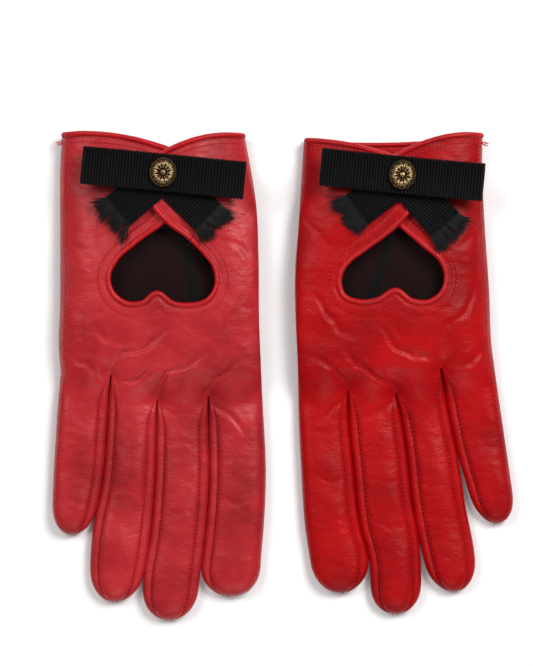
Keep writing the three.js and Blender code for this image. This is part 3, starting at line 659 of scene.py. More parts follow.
def tube(centre, radius, sides):
    """(points, quads, caps) of a round bar: a ring of sides at each point of a line, closed by fans."""
    heading = unit(np.gradient(centre, axis=0))
    side = unit(np.cross(heading, [0, 0, 1.0]))
    up = np.cross(side, heading)
    angle = np.linspace(0, 2 * np.pi, sides, endpoint=False)
    radius = np.broadcast_to(radius, len(centre))[:, None, None]
    ring = np.cos(angle)[:, None] * side[:, None] + np.sin(angle)[:, None] * up[:, None]
    points = centre[:, None] + radius * ring
    quads = grid_faces(len(centre), sides, wrap_columns=True)
    k = np.arange(1, sides - 1)
    last = (len(centre) - 1) * sides
    start_cap = np.stack([0 * k, k, k + 1], -1)
    end_cap = np.stack([last + 0 * k, last + k + 1, last + k], -1)
    return points.reshape(-1, 3), quads, np.concatenate([start_cap, end_cap])


def capsules(name, starts, ends, radius, ups):
    """Many short stitches as one mesh: each a six-sided bar, thick in the middle and pointed at both ends."""
    starts, ends, ups = (np.asarray(a, float) for a in (starts, ends, ups))
    count, sides = len(starts), 6
    heading = unit(ends - starts)
    side = unit(np.cross(heading, ups))
    up = np.cross(side, heading)
    share = np.array([0.0, 0.14, 0.5, 0.86, 1.0])
    thick = radius * np.array([0.25, 0.85, 1.0, 0.85, 0.25])
    rise = radius * np.array([-1.1, 0.1, 0.55, 0.1, -1.1])
    angle = np.linspace(0, 2 * np.pi, sides, endpoint=False)
    middle = mix(starts[:, None], ends[:, None], share[None, :, None]) + up[:, None] * rise[None, :, None]
    ring = np.cos(angle)[:, None] * side[:, None] + np.sin(angle)[:, None] * up[:, None]
    points = middle[:, :, None] + thick[None, :, None, None] * ring[:, None]
    one = grid_faces(len(share), sides, wrap_columns=True)
    last = (len(share) - 1) * sides
    ends_faces = np.array([[0, 1, 2, 3], [0, 3, 4, 5], [last, last + 3, last + 2, last + 1],
                           [last, last + 5, last + 4, last + 3]])
    one = np.concatenate([one[:, ::-1], ends_faces[:, ::-1]])
    stride = len(share) * sides
    faces = (one[None] + (np.arange(count) * stride)[:, None, None]).reshape(-1, 4)
    return write_mesh(name, points.reshape(-1, 3), faces)


# ---------- materials ----------

class Nodes:
    """A short way to write a material's nodes: each call adds one and links its inputs."""

    def __init__(self, name, **surface):
        self.material = bpy.data.materials.new(name)
        self.material.use_nodes = True
        self.tree = self.material.node_tree
        self.shader = self.tree.nodes["Principled BSDF"]
        for socket, value in surface.items():
            self.shader.inputs[socket.replace("_", " ")].default_value = value

    def add(self, kind, inputs=None, **settings):
        """A new node with its settings, and its inputs linked or set."""
        node = self.tree.nodes.new(kind)
        for key, value in settings.items():
            setattr(node, key, value)
        for key, value in (inputs or {}).items():
            if isinstance(value, bpy.types.NodeSocket):
                self.tree.links.new(value, node.inputs[key])
            else:
                node.inputs[key].default_value = value
        return node

    def place(self, output="Object", scale=(1, 1, 1), turn=(0, 0, 0)):
        """Object or UV coordinates, scaled and turned."""
        source = self.add("ShaderNodeTexCoord").outputs[output]
        return self.add("ShaderNodeMapping", {"Vector": source, "Scale": scale, "Rotation": turn}).outputs[0]

    def noise(self, where, scale, detail=3.0, rough=0.55):
        """Fractal noise, 0 to 1."""
        settings = {"Vector": where, "Scale": scale, "Detail": detail, "Roughness": rough}
        return self.add("ShaderNodeTexNoise", settings).outputs["Fac"]

    def ramp(self, value, stops):
        """A colour for each value, between (position, colour) stops."""
        node = self.add("ShaderNodeValToRGB", {"Fac": value})
        elements = node.color_ramp.elements
        while len(elements) < len(stops):
            elements.new(0.5)
        for element, (position, colour) in zip(elements, stops):
            element.position = position
            element.color = (*colour, 1)
        return node.outputs[0]

    def ranged(self, value, low, high, out_low, out_high):
        """A value's range moved to another one."""
        inputs = {"Value": value, "From Min": low, "From Max": high, "To Min": out_low, "To Max": out_high}
        return self.add("ShaderNodeMapRange", inputs).outputs[0]

    def maths(self, a, b, operation="ADD"):
        """Two values added, or put through another operation."""
        return self.add("ShaderNodeMath", {0: a, 1: b}, operation=operation).outputs[0]

    def bump(self, height, distance, strength=1.0, onto=None):
        """A height as a bump, over an earlier one if there is one."""
        inputs = {"Height": height, "Distance": distance, "Strength": strength}
        if onto is not None:
            inputs["Normal"] = onto
        return self.add("ShaderNodeBump", inputs).outputs[0]

    def finish(self, **links):
        """The material, with these outputs linked to its shader."""
        for socket, value in links.items():
            self.tree.links.new(value, self.shader.inputs[socket.replace("_", " ")])
        return self.material


def leather_material(name, deep, main, pale, grain, gloss):
    """Dyed nappa: cloudy colour, fine pebbled grain, small pores, and a satin gloss that varies slowly."""
    m = Nodes(name, Specular_IOR_Level=gloss, Specular_Tint=(1.0, 0.7, 0.7, 1))
    where = m.place()
    cloud = m.noise(where, 38, 4, 0.6)
    colour = m.ramp(cloud, [(0.28, deep), (0.5, main), (0.75, pale)])
    cells = m.add("ShaderNodeTexVoronoi", {"Vector": where, "Scale": 1250, "Randomness": 1.0},
                  feature="SMOOTH_F1").outputs["Distance"]
    fine = m.noise(where, 2600, 2, 0.6)
    pores = m.noise(where, 900, 3, 0.65)
    crinkle = m.noise(m.place(scale=(1, 1.9, 1), turn=(0, 0, 0.5)), 190, 5, 0.62)
    lines = m.noise(m.place(scale=(1, 2.2, 1), turn=(0, 0, -0.25)), 85, 4, 0.55)
    creased = m.maths(m.maths(lines, 0.5, "SUBTRACT"), 0.0, "ABSOLUTE")
    creased = m.ranged(creased, 0.0, 0.045, 0.0, 1.0)
    rough = m.maths(m.ranged(cloud, 0.3, 0.7, 0.44, 0.34), m.ranged(pores, 0.35, 0.7, -0.04, 0.07))
    skin = m.bump(cells, 0.00007, grain)
    skin = m.bump(fine, 0.00003, grain, skin)
    skin = m.bump(crinkle, 0.0006, 0.45, skin)
    skin = m.bump(creased, 0.00016, 0.22, skin)
    return m.finish(Base_Color=colour, Roughness=rough, Normal=skin)


def knit_material():
    """Fine dark jersey: rows of small loops from two crossed waves, with a soft fuzz. The colour is painted
    shade in the loops' hollows and a painted highlight on their raised tops.
    """
    m = Nodes("lining_knit", Roughness=0.95, Sheen_Weight=0.06, Sheen_Roughness=0.6,
              Sheen_Tint=(0.5, 0.3, 0.3, 1), Specular_IOR_Level=0.08)
    where = m.place()
    wales = m.add("ShaderNodeTexWave", {"Vector": where, "Scale": 420, "Distortion": 1.2, "Detail": 1.0},
                  bands_direction="X").outputs["Fac"]
    rows = m.add("ShaderNodeTexWave", {"Vector": where, "Scale": 520, "Distortion": 1.4, "Detail": 1.0},
                 bands_direction="Y").outputs["Fac"]
    loops = m.maths(wales, rows, "MULTIPLY")
    # Painted shade in the hollows between the loops and a painted highlight on their raised tops; the ramp
    # follows the same waves as the bump.
    painted_hollow_shade, yarn, raised = (0.006, 0.0025, 0.0025), (0.017, 0.006, 0.0057), (0.035, 0.014, 0.013)
    colour = m.ramp(loops, [(0.0, painted_hollow_shade), (0.6, yarn), (1.0, raised)])
    return m.finish(Base_Color=colour, Normal=m.bump(loops, 0.00012, 0.8))


def cloth_material(name, dark, light, pitch, rough=0.8, sheen=0.3):
    """Woven thread: fine waves along the piece's own length, mottled, with a low sheen. The waves also darken
    the colour in their troughs, as painted shade between the ribs.
    """
    m = Nodes(name, Sheen_Weight=sheen, Sheen_Roughness=0.4, Specular_IOR_Level=0.1)
    where = m.place("UV")
    weave = m.add("ShaderNodeTexWave", {"Vector": where, "Scale": pitch, "Distortion": 0.8, "Detail": 1.0},
                  bands_direction="Y").outputs["Fac"]
    mottle = m.noise(m.place(), 700, 3, 0.6)
    blend = m.maths(weave, mottle, "MULTIPLY")
    # The dark colour falls in the weave's troughs as painted shade between the ribs, and the light colour on
    # its crests; the mottle is the cloth's own uneven tone.
    colour = m.ramp(blend, [(0.1, dark), (0.65, light)])
    gloss = m.ranged(mottle, 0.3, 0.7, rough - 0.08, rough + 0.08)
    return m.finish(Base_Color=colour, Roughness=gloss, Normal=m.bump(weave, 0.00008, 0.6))


def thread_material(name, dark, light):
    """Sewing thread: its twist shown by a fine random mottle, whose dark tone is painted shade in the twist's
    hollows and whose light tone is painted light on its plies.
    """
    m = Nodes(name, Sheen_Weight=0.03, Specular_IOR_Level=0.25)
    twist = m.noise(m.place(), 1900, 2, 0.5)
    # The dark colour is painted shade in the twist's hollows, and the light colour painted light on its
    # plies, at random places along the thread.
    colour = m.ramp(twist, [(0.3, dark), (0.7, light)])
    return m.finish(Base_Color=colour, Roughness=m.ranged(twist, 0.3, 0.7, 0.5, 0.7))


def brass_material():
    """Antiqued brass: bright where it is rubbed high, and brown in the hollows, by an attribute of height."""
    m = Nodes("antique_brass", Metallic=1.0)
    height = m.add("ShaderNodeAttribute", attribute_name="relief").outputs["Fac"]
    stain = m.noise(m.place(), 900, 4, 0.65)
    worn = m.maths(height, m.ranged(stain, 0.3, 0.7, -0.22, 0.22))
    patina, brown, rubbed = (0.028, 0.017, 0.009), (0.12, 0.075, 0.035), (0.5, 0.36, 0.18)
    colour = m.ramp(worn, [(0.12, patina), (0.5, brown), (0.95, rubbed)])
    gloss = m.ranged(worn, 0.1, 0.9, 0.6, 0.3)
    return m.finish(Base_Color=colour, Roughness=gloss, Normal=m.bump(stain, 0.00006, 0.7))


MATERIALS = {}


def make_material(name):
    """A finish by its name; the leathers, the ribbon and the red thread take the sidebar's colours."""
    colours = bpy.context.scene.glove_colours
    tones = lambda *words: [tuple(getattr(colours, f"{name}_{word}")) for word in words]
    if name.endswith("_leather"):
        return leather_material(name, *tones("deep", "main", "pale"), grain=0.5, gloss=GLOSS[name])
    if name == "grosgrain":
        return cloth_material(name, *tones("dark", "light"), pitch=900, rough=0.42, sheen=0.0)
    if name == "red_thread":
        return thread_material(name, *tones("dark", "light"))
    if name == "tape":
        return cloth_material(name, (0.0015, 0.0015, 0.0015), (0.006, 0.006, 0.006), pitch=700)
    if name == "label":
        return cloth_material(name, (0.006, 0.006, 0.006), (0.022, 0.022, 0.023), pitch=1500, rough=0.5)
    if name == "fringe":
        return thread_material(name, (0.0008, 0.0008, 0.0008), (0.004, 0.004, 0.0045))
    # Dark red for the short bars between the stitches: painted shade in the needle holes.
    if name == "painted_hole_shade":
        return thread_material(name, (0.03, 0.001, 0.002), (0.09, 0.003, 0.005))
    return {"knit": knit_material, "brass": brass_material}[name]()


def material(name):
    """The finished material of that name, made the first time that it is asked for."""
    if name not in MATERIALS:
        MATERIALS[name] = make_material(name)
    return MATERIALS[name]


def dress(obj, finish, slot, body, *replaced):
    """A finish, a material slot's name (not used), the body that the piece rides on and the nodes that it
    stands for.
    """
    obj.data.materials.append(material(finish))
    if body:
        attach(obj, body)
    if replaced:
        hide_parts(*replaced)
    return obj


def blend_finger(obj, side, name):
    """Bakes the object's transform into its mesh; the finger's root is worked out but not used, and nothing
    bends.
    """
    finger = FINGER[side][name]
    low, heading = finger_root(finger)
    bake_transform(obj)


def finger_root(finger):
    """(point, direction) of a finger's root: the corner furthest towards its tip, on its middle line."""
    start, _, _, _ = finger.frame(np.array([0.0]))
    ahead, _, _, _ = finger.frame(np.array([0.4]))
    heading = unit(ahead[0] - start[0])
    corners = [finger.edge[side].at(0.0) for side in ("outer", "inner")]
    furthest = max((corner - start[0]) @ heading for corner in corners)
    return start[0] + heading * max(furthest, 0), heading


# ---------- leather ----------

def ghosted(values):
    """A rising row of numbers with one more at each end, a thousandth of its span outside."""
    step = 1e-3 * (values[-1] - values[0])
    return np.r_[values[0] - step, values, values[-1] + step]


def surfaced(function, down, over, wrap=False):
    """(points, normals) of a function on a grid; normals at its borders come from points just outside."""
    grid = np.meshgrid(down if wrap else ghosted(down), ghosted(over), indexing="ij")
    points = function(*grid)
    normals = normals_of(points, wrap)
    keep = slice(None) if wrap else slice(1, -1)
    return points[keep, 1:-1], normals[keep, 1:-1]


def upward(normals, sign=1):
    """Normals turned over, all together, so that on the whole they point up, or down for sign -1."""
    return normals * (sign if normals[..., 2].mean() > 0 else -sign)


def make_back(side):
    """The back of the hand, lines from the opening's edge to the outline, and its lining just below."""
    back = BACK[side]
    leather, knit = size("leather"), size("lining")
    over = np.r_[np.linspace(0, BAND_SHARE, 6)[:-1], np.linspace(BAND_SHARE, 1, 64)]
    points, normals = surfaced(back.points, back.columns(620), over)
    normals = upward(normals)
    obj = shell(f"{side}_back_shell", points, normals, leather)
    dress(obj, f"{side}_leather", "red_leather", f"{side}_hand", f"{side}_back_leather")
    inner = points - normals * (leather + 0.25)
    cut = slice(3, -3)
    lining = shell(f"{side}_back_lining_knit", inner[::2, cut], normals[::2, cut], knit)
    dress(lining, "knit", "lining_knit", f"{side}_hand", f"{side}_back_lining")


def palm_cuff(glove, t):
    """The palm's cuff from the index corner (t = 0) to the little corner, a parabola that dips between."""
    little, _, index = glove.outline()
    t = t[:, None]
    dip = np.array([0, 4 * PALM_CUFF_DIP[glove.side]])
    return mix(index.at(index.length), little.at(0), t) - dip * t * (1 - t)


def palm_function(glove, hole_radius, furthest=1e3):
    """Rings from the thumb hole's edge out to the hand's outline and the palm's cuff, or to a furthest y."""
    little, corners, index = glove.outline()
    roots = [np.linspace(a, b, 24) for a, b in zip(corners, corners[1:])]
    cuff = palm_cuff(glove, np.linspace(0, 1, 40))
    line = without_doubles(np.concatenate([little.points, *roots, index.points, cuff]))
    run = lengths(line)
    hole = np.array(glove.p["thumb_hole"])

    def function(around, share):
        """The palm's lower face at a length round the outline and a share of the way out to it."""
        outer = read(line, run, around % run[-1])
        away = outer - hole
        length = np.linalg.norm(away, axis=-1, keepdims=True)
        flat = hole + away / length * mix(hole_radius, length, share[..., None])
        flat[..., 1] = np.minimum(flat[..., 1], furthest + 0.02 * (flat[..., 1] - furthest))
        z = glove.palm_z(flat[..., 0], flat[..., 1]) + 0.05
        return np.concatenate([flat, z[..., None]], -1)

    return function, run[-1]


def make_palm(side):
    """The palm: rings round the thumb hole on the palm's lower face, and its lining a little above."""
    glove = GLOVE[side]
    leather, knit = size("leather"), size("lining")
    share = np.linspace(0, 1, 46)
    function, total = palm_function(glove, 10.5)
    around = np.linspace(0, total, 420, endpoint=False)
    points, normals = surfaced(function, around, share, wrap=True)
    down = upward(normals, -1)
    obj = shell(f"{side}_palm_shell", points, down, leather, wrap=True)
    dress(obj, f"{side}_leather", "red_leather", f"{side}_hand", f"{side}_palm_leather")
    function, _ = palm_function(glove, 6.5, CUFF_FACING_Y)
    points, _ = surfaced(function, around, share, wrap=True)
    inner = points + np.array([0, 0, leather + 0.5])
    inner[..., 2] -= 2.4 * (1 - smooth(0, 0.08, share))
    down = upward(normals_of(inner, wrap=True), -1)
    lining = shell(f"{side}_palm_lining_knit", inner[::2, :-2], down[::2, :-2], knit, wrap=True)
    dress(lining, "knit", "lining_knit", f"{side}_hand", f"{side}_palm_lining")


def make_finger(side, name):
    """A finger's back and palm strips over (share, lateral), its side strips and its lining."""
    finger = FINGER[side][name]
    rows = finger.rows(64)
    over = np.sin(np.linspace(-np.pi / 2, np.pi / 2, 35))
    lateral = np.clip(over, -0.9995, 0.9995)
    share, across = np.meshgrid(np.r_[-0.004, rows], lateral, indexing="ij")
    share[-1] -= 1e-4
    for part, function, sign in (("back", finger.top, 1), ("palm", finger.bottom, -1)):
        points = function(share, across)
        normals = upward(normals_of(points), sign)
        obj = shell(f"{side}_{name}_{part}_strip", points[1:], normals[1:], size("leather"))
        dress(obj, f"{side}_leather", "red_leather", None, f"{side}_{name}_{part}")
        blend_finger(obj, side, name)
    for edge in ("outer", "inner"):
        if not finger.fold[edge]:
            make_fourchette(side, name, edge)
    make_finger_lining(side, name)


def make_fourchette(side, name, edge):
    """A side strip over (share, turn), from the back's seam to the palm's."""
    finger = FINGER[side][name]
    rows = np.r_[-0.004, finger.rows(64)[:-1]]
    turn = np.r_[0, 0.03, 0.07, np.linspace(0.12, 1, 17)]
    share, turns = np.meshgrid(rows, turn, indexing="ij")
    points = finger.strip(share, turns, edge)
    normals = normals_of(points)
    _, half, _, _ = finger.frame(np.array([0.3]))
    outward = half[0] * (1 if edge == "inner" else -1)
    if (normals[..., :2] @ outward).mean() < 0:
        normals = -normals
    obj = shell(f"{side}_{name}_{edge}_side_strip", points[1:], normals[1:], SIDE_STRIP)
    dress(obj, f"{side}_leather", "red_leather", None, f"{side}_{name}_{edge}_fourchette")
    blend_finger(obj, side, name)


def make_finger_lining(side, name):
    """A flat knitted tube inside the finger: a squarish oval section carried to 8 mm from the tip."""
    finger = FINGER[side][name]
    share = np.linspace(0.03, 1 - 8 / finger.length, 30)
    angle = np.linspace(0, 2 * np.pi, 32, endpoint=False)
    angles, shares = np.meshgrid(angle, share, indexing="ij")
    middle, half, width, depth = finger.frame(shares)
    reach = np.sign(np.cos(angles)) * np.abs(np.cos(angles)) ** 0.7 * (1 - 3.4 / np.maximum(width, 4))
    flat = middle + half * reach[..., None]
    top = finger.height(shares) - 2.6
    z = mix(1.6, top, 0.5 + 0.5 * np.sin(angles)) * (0.75 + 0.25 * smooth(0, 14, depth))
    points = np.concatenate([flat, np.maximum(z, 1.6)[..., None]], -1)
    normals = normals_of(points, wrap=True)
    centre = points.mean(0, keepdims=True)
    if np.sum(normals * (points - centre)) < 0:
        normals = -normals
    obj = shell(f"{side}_{name}_lining_knit", points, normals, size("lining"), wrap=True)
    dress(obj, "knit", "lining_knit", None, f"{side}_{name}_lining")
    blend_finger(obj, side, name)


def thumb_points(side, around, turn, shrink):
    """The thumb's bag: from its mouth (turn 0) over the top to the rim (1) and under to its middle line (2).

    The rim is a slot with round ends; the faces stand off the middle by (1 - w^4)^0.5 of half the thickness.
    """
    glove = GLOVE[side]
    half = THUMB["half_width"] - shrink
    reach = THUMB["length"] - THUMB["half_width"]
    thick = THUMB["thickness"] / 2 - shrink
    y = np.where(np.sin(around) > 0, 0.0, -reach)
    slim = np.where(np.sin(around) > 0, 1.0, THUMB["taper"])
    rim = np.stack([half * slim * np.cos(around), y + half * slim * np.sin(around)], -1)
    mouth = THUMB["mouth"] * np.stack([np.cos(around), np.sin(around)], -1)
    spine = np.stack([np.zeros_like(around), y], -1)
    over = np.clip(turn, 0, 1)[..., None]
    under = np.clip(turn - 1, 0, 1)[..., None]
    flat = np.where(turn[..., None] < 1, mix(mouth, rim, over), mix(rim, spine, under))
    w = np.where(turn < 1, over[..., 0], 1 - under[..., 0])
    z = THUMB["thickness"] / 2 + np.where(turn < 1, 1, -1) * thick * (1 - w ** 4) ** 0.5
    tilt = math.radians(-glove.to_index * THUMB["tucked"])
    x, y = flat[..., 0], flat[..., 1]
    turned = [x * math.cos(tilt) - y * math.sin(tilt), x * math.sin(tilt) + y * math.cos(tilt)]
    hole = glove.p["thumb_hole"]
    return np.stack([turned[0] + hole[0], turned[1] + hole[1], z], -1)


def make_thumb(side):
    """The thumb's leather bag and, a little inside it, its lining."""
    around = np.linspace(0, 2 * np.pi, 120, endpoint=False)
    over = 1 - np.cos(np.linspace(0, np.pi / 2, 16))
    under = 1 + 0.995 * np.sin(np.linspace(0, np.pi / 2, 18))[1:]
    turn = np.concatenate([over, under])
    grid = np.meshgrid(around, turn, indexing="ij")
    for part, finish, slot, shrink, wall in (("leather", f"{side}_leather", "red_leather", 0, 0.8),
                                             ("lining", "knit", "lining_knit", 1.1, 0.4)):
        points = thumb_points(side, *grid, shrink)
        normals = normals_of(points, wrap=True)
        middle = points.reshape(-1, 3).mean(0)
        if np.sum(normals * (points - middle)) < 0:
            normals = -normals
        obj = shell(f"{side}_thumb_{part}_bag", points, normals, wall, wrap=True)
        dress(obj, finish, slot, f"{side}_thumb", f"{side}_thumb_{part}")


# ---------- edges and stitches ----------

def binding_line(side):
    """The bound edge: little cuff, round the opening, index cuff."""
    back = BACK[side]
    total = back.keys[-1]
    inward = np.linspace(0.985, 0.06, 60)
    first = back.points(np.zeros(60), inward)
    last = back.points(np.full(60, total), inward[::-1])
    run = np.linspace(0, total, 900)
    middle = back.band(run, np.full(900, -0.55))
    return np.concatenate([first, middle[4:-4], last])


def even(points, step):
    """Points at an even step along a line of points."""
    run = lengths(points)
    return read(points, run, np.arange(0, run[-1], step))


def smoothed(points, times):
    """A line of points with each moved to the weighted mean of itself and its neighbours, some times over."""
    for _ in range(times):
        points = np.r_[points[:1], (points[:-2] + 2 * points[1:-1] + points[2:]) / 4, points[-1:]]
    return points


def make_binding(side):
    """The rolled edges: a round bar of slowly varying thickness, and a thinner one along the palm's cuff."""
    line = smoothed(even(binding_line(side), 0.5), 3) - np.array([0, 0, 0.2])
    wander = 1 + 0.06 * value_noise(np.arange(len(line)) * 0.5, np.zeros(len(line)), 5, 5)
    back_edge = polygons(f"{side}_rolled_edge", *tube(line, size("bead") * wander, sides=14))
    dress(back_edge, "binding_leather", "binding_leather", f"{side}_hand", f"{side}_edge_binding")
    flat = palm_cuff(GLOVE[side], np.linspace(0.01, 0.99, 120))
    z = np.maximum(GLOVE[side].palm_z(flat[:, 0], flat[:, 1]) + 0.6, 1.0)
    palm_edge = polygons(f"{side}_palm_cuff_edge", *tube(np.c_[flat, z], 1.0, sides=12))
    dress(palm_edge, "binding_leather", "binding_leather", f"{side}_hand")


def polygons(name, points, quads, triangles):
    """A mesh from four-cornered and three-cornered faces, with its normals pointing outwards."""
    mesh = bpy.data.meshes.new(name)
    mesh.from_pydata(((points + SHIFT) * MM).tolist(), [], quads.tolist() + triangles.tolist())
    if mesh.validate():
        raise RuntimeError(f"{name}: the mesh had faces that Blender had to mend")
    mesh.shade_smooth()
    corners = points[quads]
    middle = corners.mean(1)
    volume = np.sum(np.cross(corners[:, 1] - corners[:, 0], corners[:, 3] - corners[:, 0]) * middle)
    if volume < 0:
        mesh.flip_normals()
    obj = bpy.data.objects.new(name, mesh)
    bpy.context.scene.collection.objects.link(obj)
    return obj


def sewn(name, lines, length=1.35, radius=0.27, start=0.5):
    """Stitches along lines of surface points, each with its normals given beside it."""
    starts, ends, ups = [], [], []
    for points, normals in lines:
        run = lengths(points)
        at = np.arange(start, run[-1] - length - 0.3, size("stitch_pitch"))
        starts.append(read(points, run, at))
        ends.append(read(points, run, at + length))
        ups.append(unit(read(normals, run, at + length / 2)))
    return capsules(name, np.concatenate(starts), np.concatenate(ends), radius, np.concatenate(ups))


def make_hand_stitches(side):
    """Two rows round the opening, two along each half of the cuff and one down the side seam."""
    back = BACK[side]
    total = back.keys[-1]
    up = lambda points: np.tile([0, 0, 1.0], (len(points), 1))
    run = np.linspace(total * 0.004, total * 0.996, 900)
    heart, second = (back.band(run, np.full(900, inward)) for inward in STITCH_ROWS)
    lines = [(heart, up(heart)), (second, up(second))]
    share = np.linspace(0.1, 0.96, 120)
    for at, place in ((0.0, PLACES[0]), (total, PLACES[-1])):
        for inward in CUFF_STITCH_ROWS:
            flat = back.points(np.full(120, at), share)[:, :2] - np.array([0, inward])
            z = back.glove.back_z(flat[:, 0], flat[:, 1]) + back.lift(place, share)
            row = np.c_[flat, z - back.press(place) * (1 - share)]
            lines.append((row, up(row)))
    y = np.linspace(102, 2, 200)
    edge = np.interp(y, *back.glove.edges["little"])
    x = edge + back.glove.to_index * (2.6 if side == "right" else 2.0)
    seam = np.c_[x, y, back.glove.back_z(x, y)]
    lines.append((seam, up(seam)))
    dress(sewn(f"{side}_hand_stitching", lines), "red_thread", "red_leather", f"{side}_hand")
    # Short dark bars between the stitches, as painted shade in the needle holes.
    holes = sewn(f"{side}_hand_needle_holes", lines, length=0.5, radius=0.2, start=1.85)
    dress(holes, "painted_hole_shade", "red_leather", f"{side}_hand")


def make_finger_stitches(side, name):
    """Stitches along a finger's two seams, on the back strip beside its edge, with short dark bars between
    them as painted shade in the needle holes.
    """
    finger = FINGER[side][name]
    share = np.linspace(0.02, 0.97, 200)
    lines = []
    for edge, sign in (("outer", -0.93), ("inner", 0.93)):
        if finger.fold[edge] and edge == "inner":
            continue
        points = finger.top(share, np.full_like(share, sign * (0.9 if finger.fold[edge] else 1)))
        ups = np.tile([0.35 * sign * finger.glove.to_index, 0, 1.0], (len(points), 1))
        lines.append((points, ups))
    for part, finish, length, radius, start in (("stitching", "red_thread", 1.1, 0.16, 0.5),
                                                ("needle_holes", "painted_hole_shade", 0.7, 0.2, 1.65)):
        obj = sewn(f"{side}_{name}_seam_{part}", lines, length=length, radius=radius, start=start)
        dress(obj, finish, "red_leather", None)
        blend_finger(obj, side, name)


# ---------- ribbon, studs and labels ----------

def ribbon_frame(side):
    """(middle, direction along, direction across) of a bow."""
    along = np.array([math.cos(BOW_TURN), math.sin(BOW_TURN), 0])
    across = np.array([-math.sin(BOW_TURN), math.cos(BOW_TURN), 0])
    return np.array([*BOW_AT[side], 0.0]), along, across


def rib(run):
    """Height of a grosgrain rib, 0 to 1: half a circle over each pitch."""
    t = (run / RIB) % 1
    return np.sqrt(np.maximum(1 - (2 * t - 1) ** 2, 0))


def make_loop(side):
    """The bow's loop: a flattened ring of ribbon, ribbed across, with a scallop at each rib's end."""
    low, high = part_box(f"{side}_bow_loop")
    base, top = low[2] / MM, high[2] / MM
    centre, along, across = ribbon_frame(side)
    height = top - base
    straight = LOOP_HALF_LENGTH - height / 2
    total = 4 * straight + math.pi * height
    ribs = int(round(total / RIB))
    run = np.linspace(0, ribs * RIB, ribs * 8, endpoint=False)
    s = run / (ribs * RIB) * total
    corner = np.array([0, straight, straight + math.pi * height / 2, 3 * straight + math.pi * height / 2,
                       3 * straight + math.pi * height, total])
    k = np.clip(np.searchsorted(corner, s, "right") - 1, 0, 4)
    t = (s - corner[k]) / (corner[k + 1] - corner[k])
    turned = np.pi * np.array([0, 0, 1, 1, 2, 2])
    reached = straight * np.array([0, 1, 1, -1, -1, 0])
    angle = mix(turned[k], turned[k + 1], t)
    x = mix(reached[k], reached[k + 1], t) + height / 2 * np.sin(angle)
    z = height / 2 * np.cos(angle)
    xs, vs = np.meshgrid(x, RIBBON_COLUMNS, indexing="ij")
    zs = np.broadcast_to(z[:, None], xs.shape)
    ridge = rib(run)[:, None] * np.ones_like(vs)
    width = RIBBON_WIDTH / 2 + 0.75 * (ridge - 0.5)
    normal_x, normal_z = np.sin(angle)[:, None], np.cos(angle)[:, None]
    slump = 0.35 * np.cos(xs / 11 + vs) * (zs > 0) * smooth(6, 12, np.abs(xs))
    edge = np.sqrt(np.maximum(1 - np.abs(vs) ** 8, 0)) - 1
    proud = 0.56 * (ridge - 0.6) + 0.3 * edge
    bend = 0.00022 * xs ** 2 * (1 if side == "left" else -0.2)
    points = centre + (xs + normal_x * proud)[..., None] * along + (vs * width + bend)[..., None] * across
    points = points + np.stack([0 * xs, 0 * xs, base + height / 2 + zs + slump + normal_z * proud], -1)
    normals = normals_of(points, wrap=True)
    outward = normal_x[..., None] * along + normal_z[..., None] * np.array([0, 0, 1.0])
    if np.sum(normals * outward) < 0:
        normals = -normals
    obj = shell(f"{side}_ribbon_loop", points, normals, RIBBON_THICKNESS, wrap=True)
    dress(obj, "grosgrain", "grosgrain", f"{side}_hand", f"{side}_bow_loop")


def tail_lines(side, end):
    """(start, direction along, direction across, length) of a tail from the bow's middle to its cut end."""
    centre, _, _ = ribbon_frame(side)
    run = np.array([*end, 0.0]) - centre
    length = np.linalg.norm(run)
    along = run / length
    return centre, along, np.array([-along[1], along[0], 0]), length


def tail_height(side):
    """The height of a tail's middle, just over the leather."""
    low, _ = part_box(f"{side}_bow_tails")
    return low[2] / MM + 0.35


def make_tails(side):
    """The bow's tails: ribbed strips with a slow wave, each ending in a fringe."""
    for k, end in enumerate(PATTERN[side]["tails"]):
        centre, along, across, length = tail_lines(side, end)
        ribs = int(round(length / RIB))
        run = np.linspace(0, ribs * RIB, ribs * 8 + 1)
        runs, vs = np.meshgrid(run, RIBBON_COLUMNS, indexing="ij")
        ridge = rib(runs)
        width = RIBBON_WIDTH / 2 + 0.5 * (ridge - 0.5)
        edge = np.sqrt(np.maximum(1 - np.abs(vs) ** 8, 0)) - 1
        flat = centre + runs[..., None] * along + (vs * width)[..., None] * across
        wave = 0.3 * np.sin(runs / 6 + 2 * k) * smooth(8, 20, runs)
        flat[..., 2] = tail_height(side) + 0.52 * (ridge - 0.6) + 0.25 * edge + wave + 0.12 * k
        normals = upward(normals_of(flat))
        obj = shell(f"{side}_ribbon_tail_{k + 1}", flat, normals, RIBBON_THICKNESS)
        replaced = [f"{side}_bow_tails"] if k == 0 else []
        dress(obj, "grosgrain", "grosgrain", f"{side}_hand", *replaced)
        fringe = make_fringe(side, k, centre + along * (ribs * RIB), along, across)


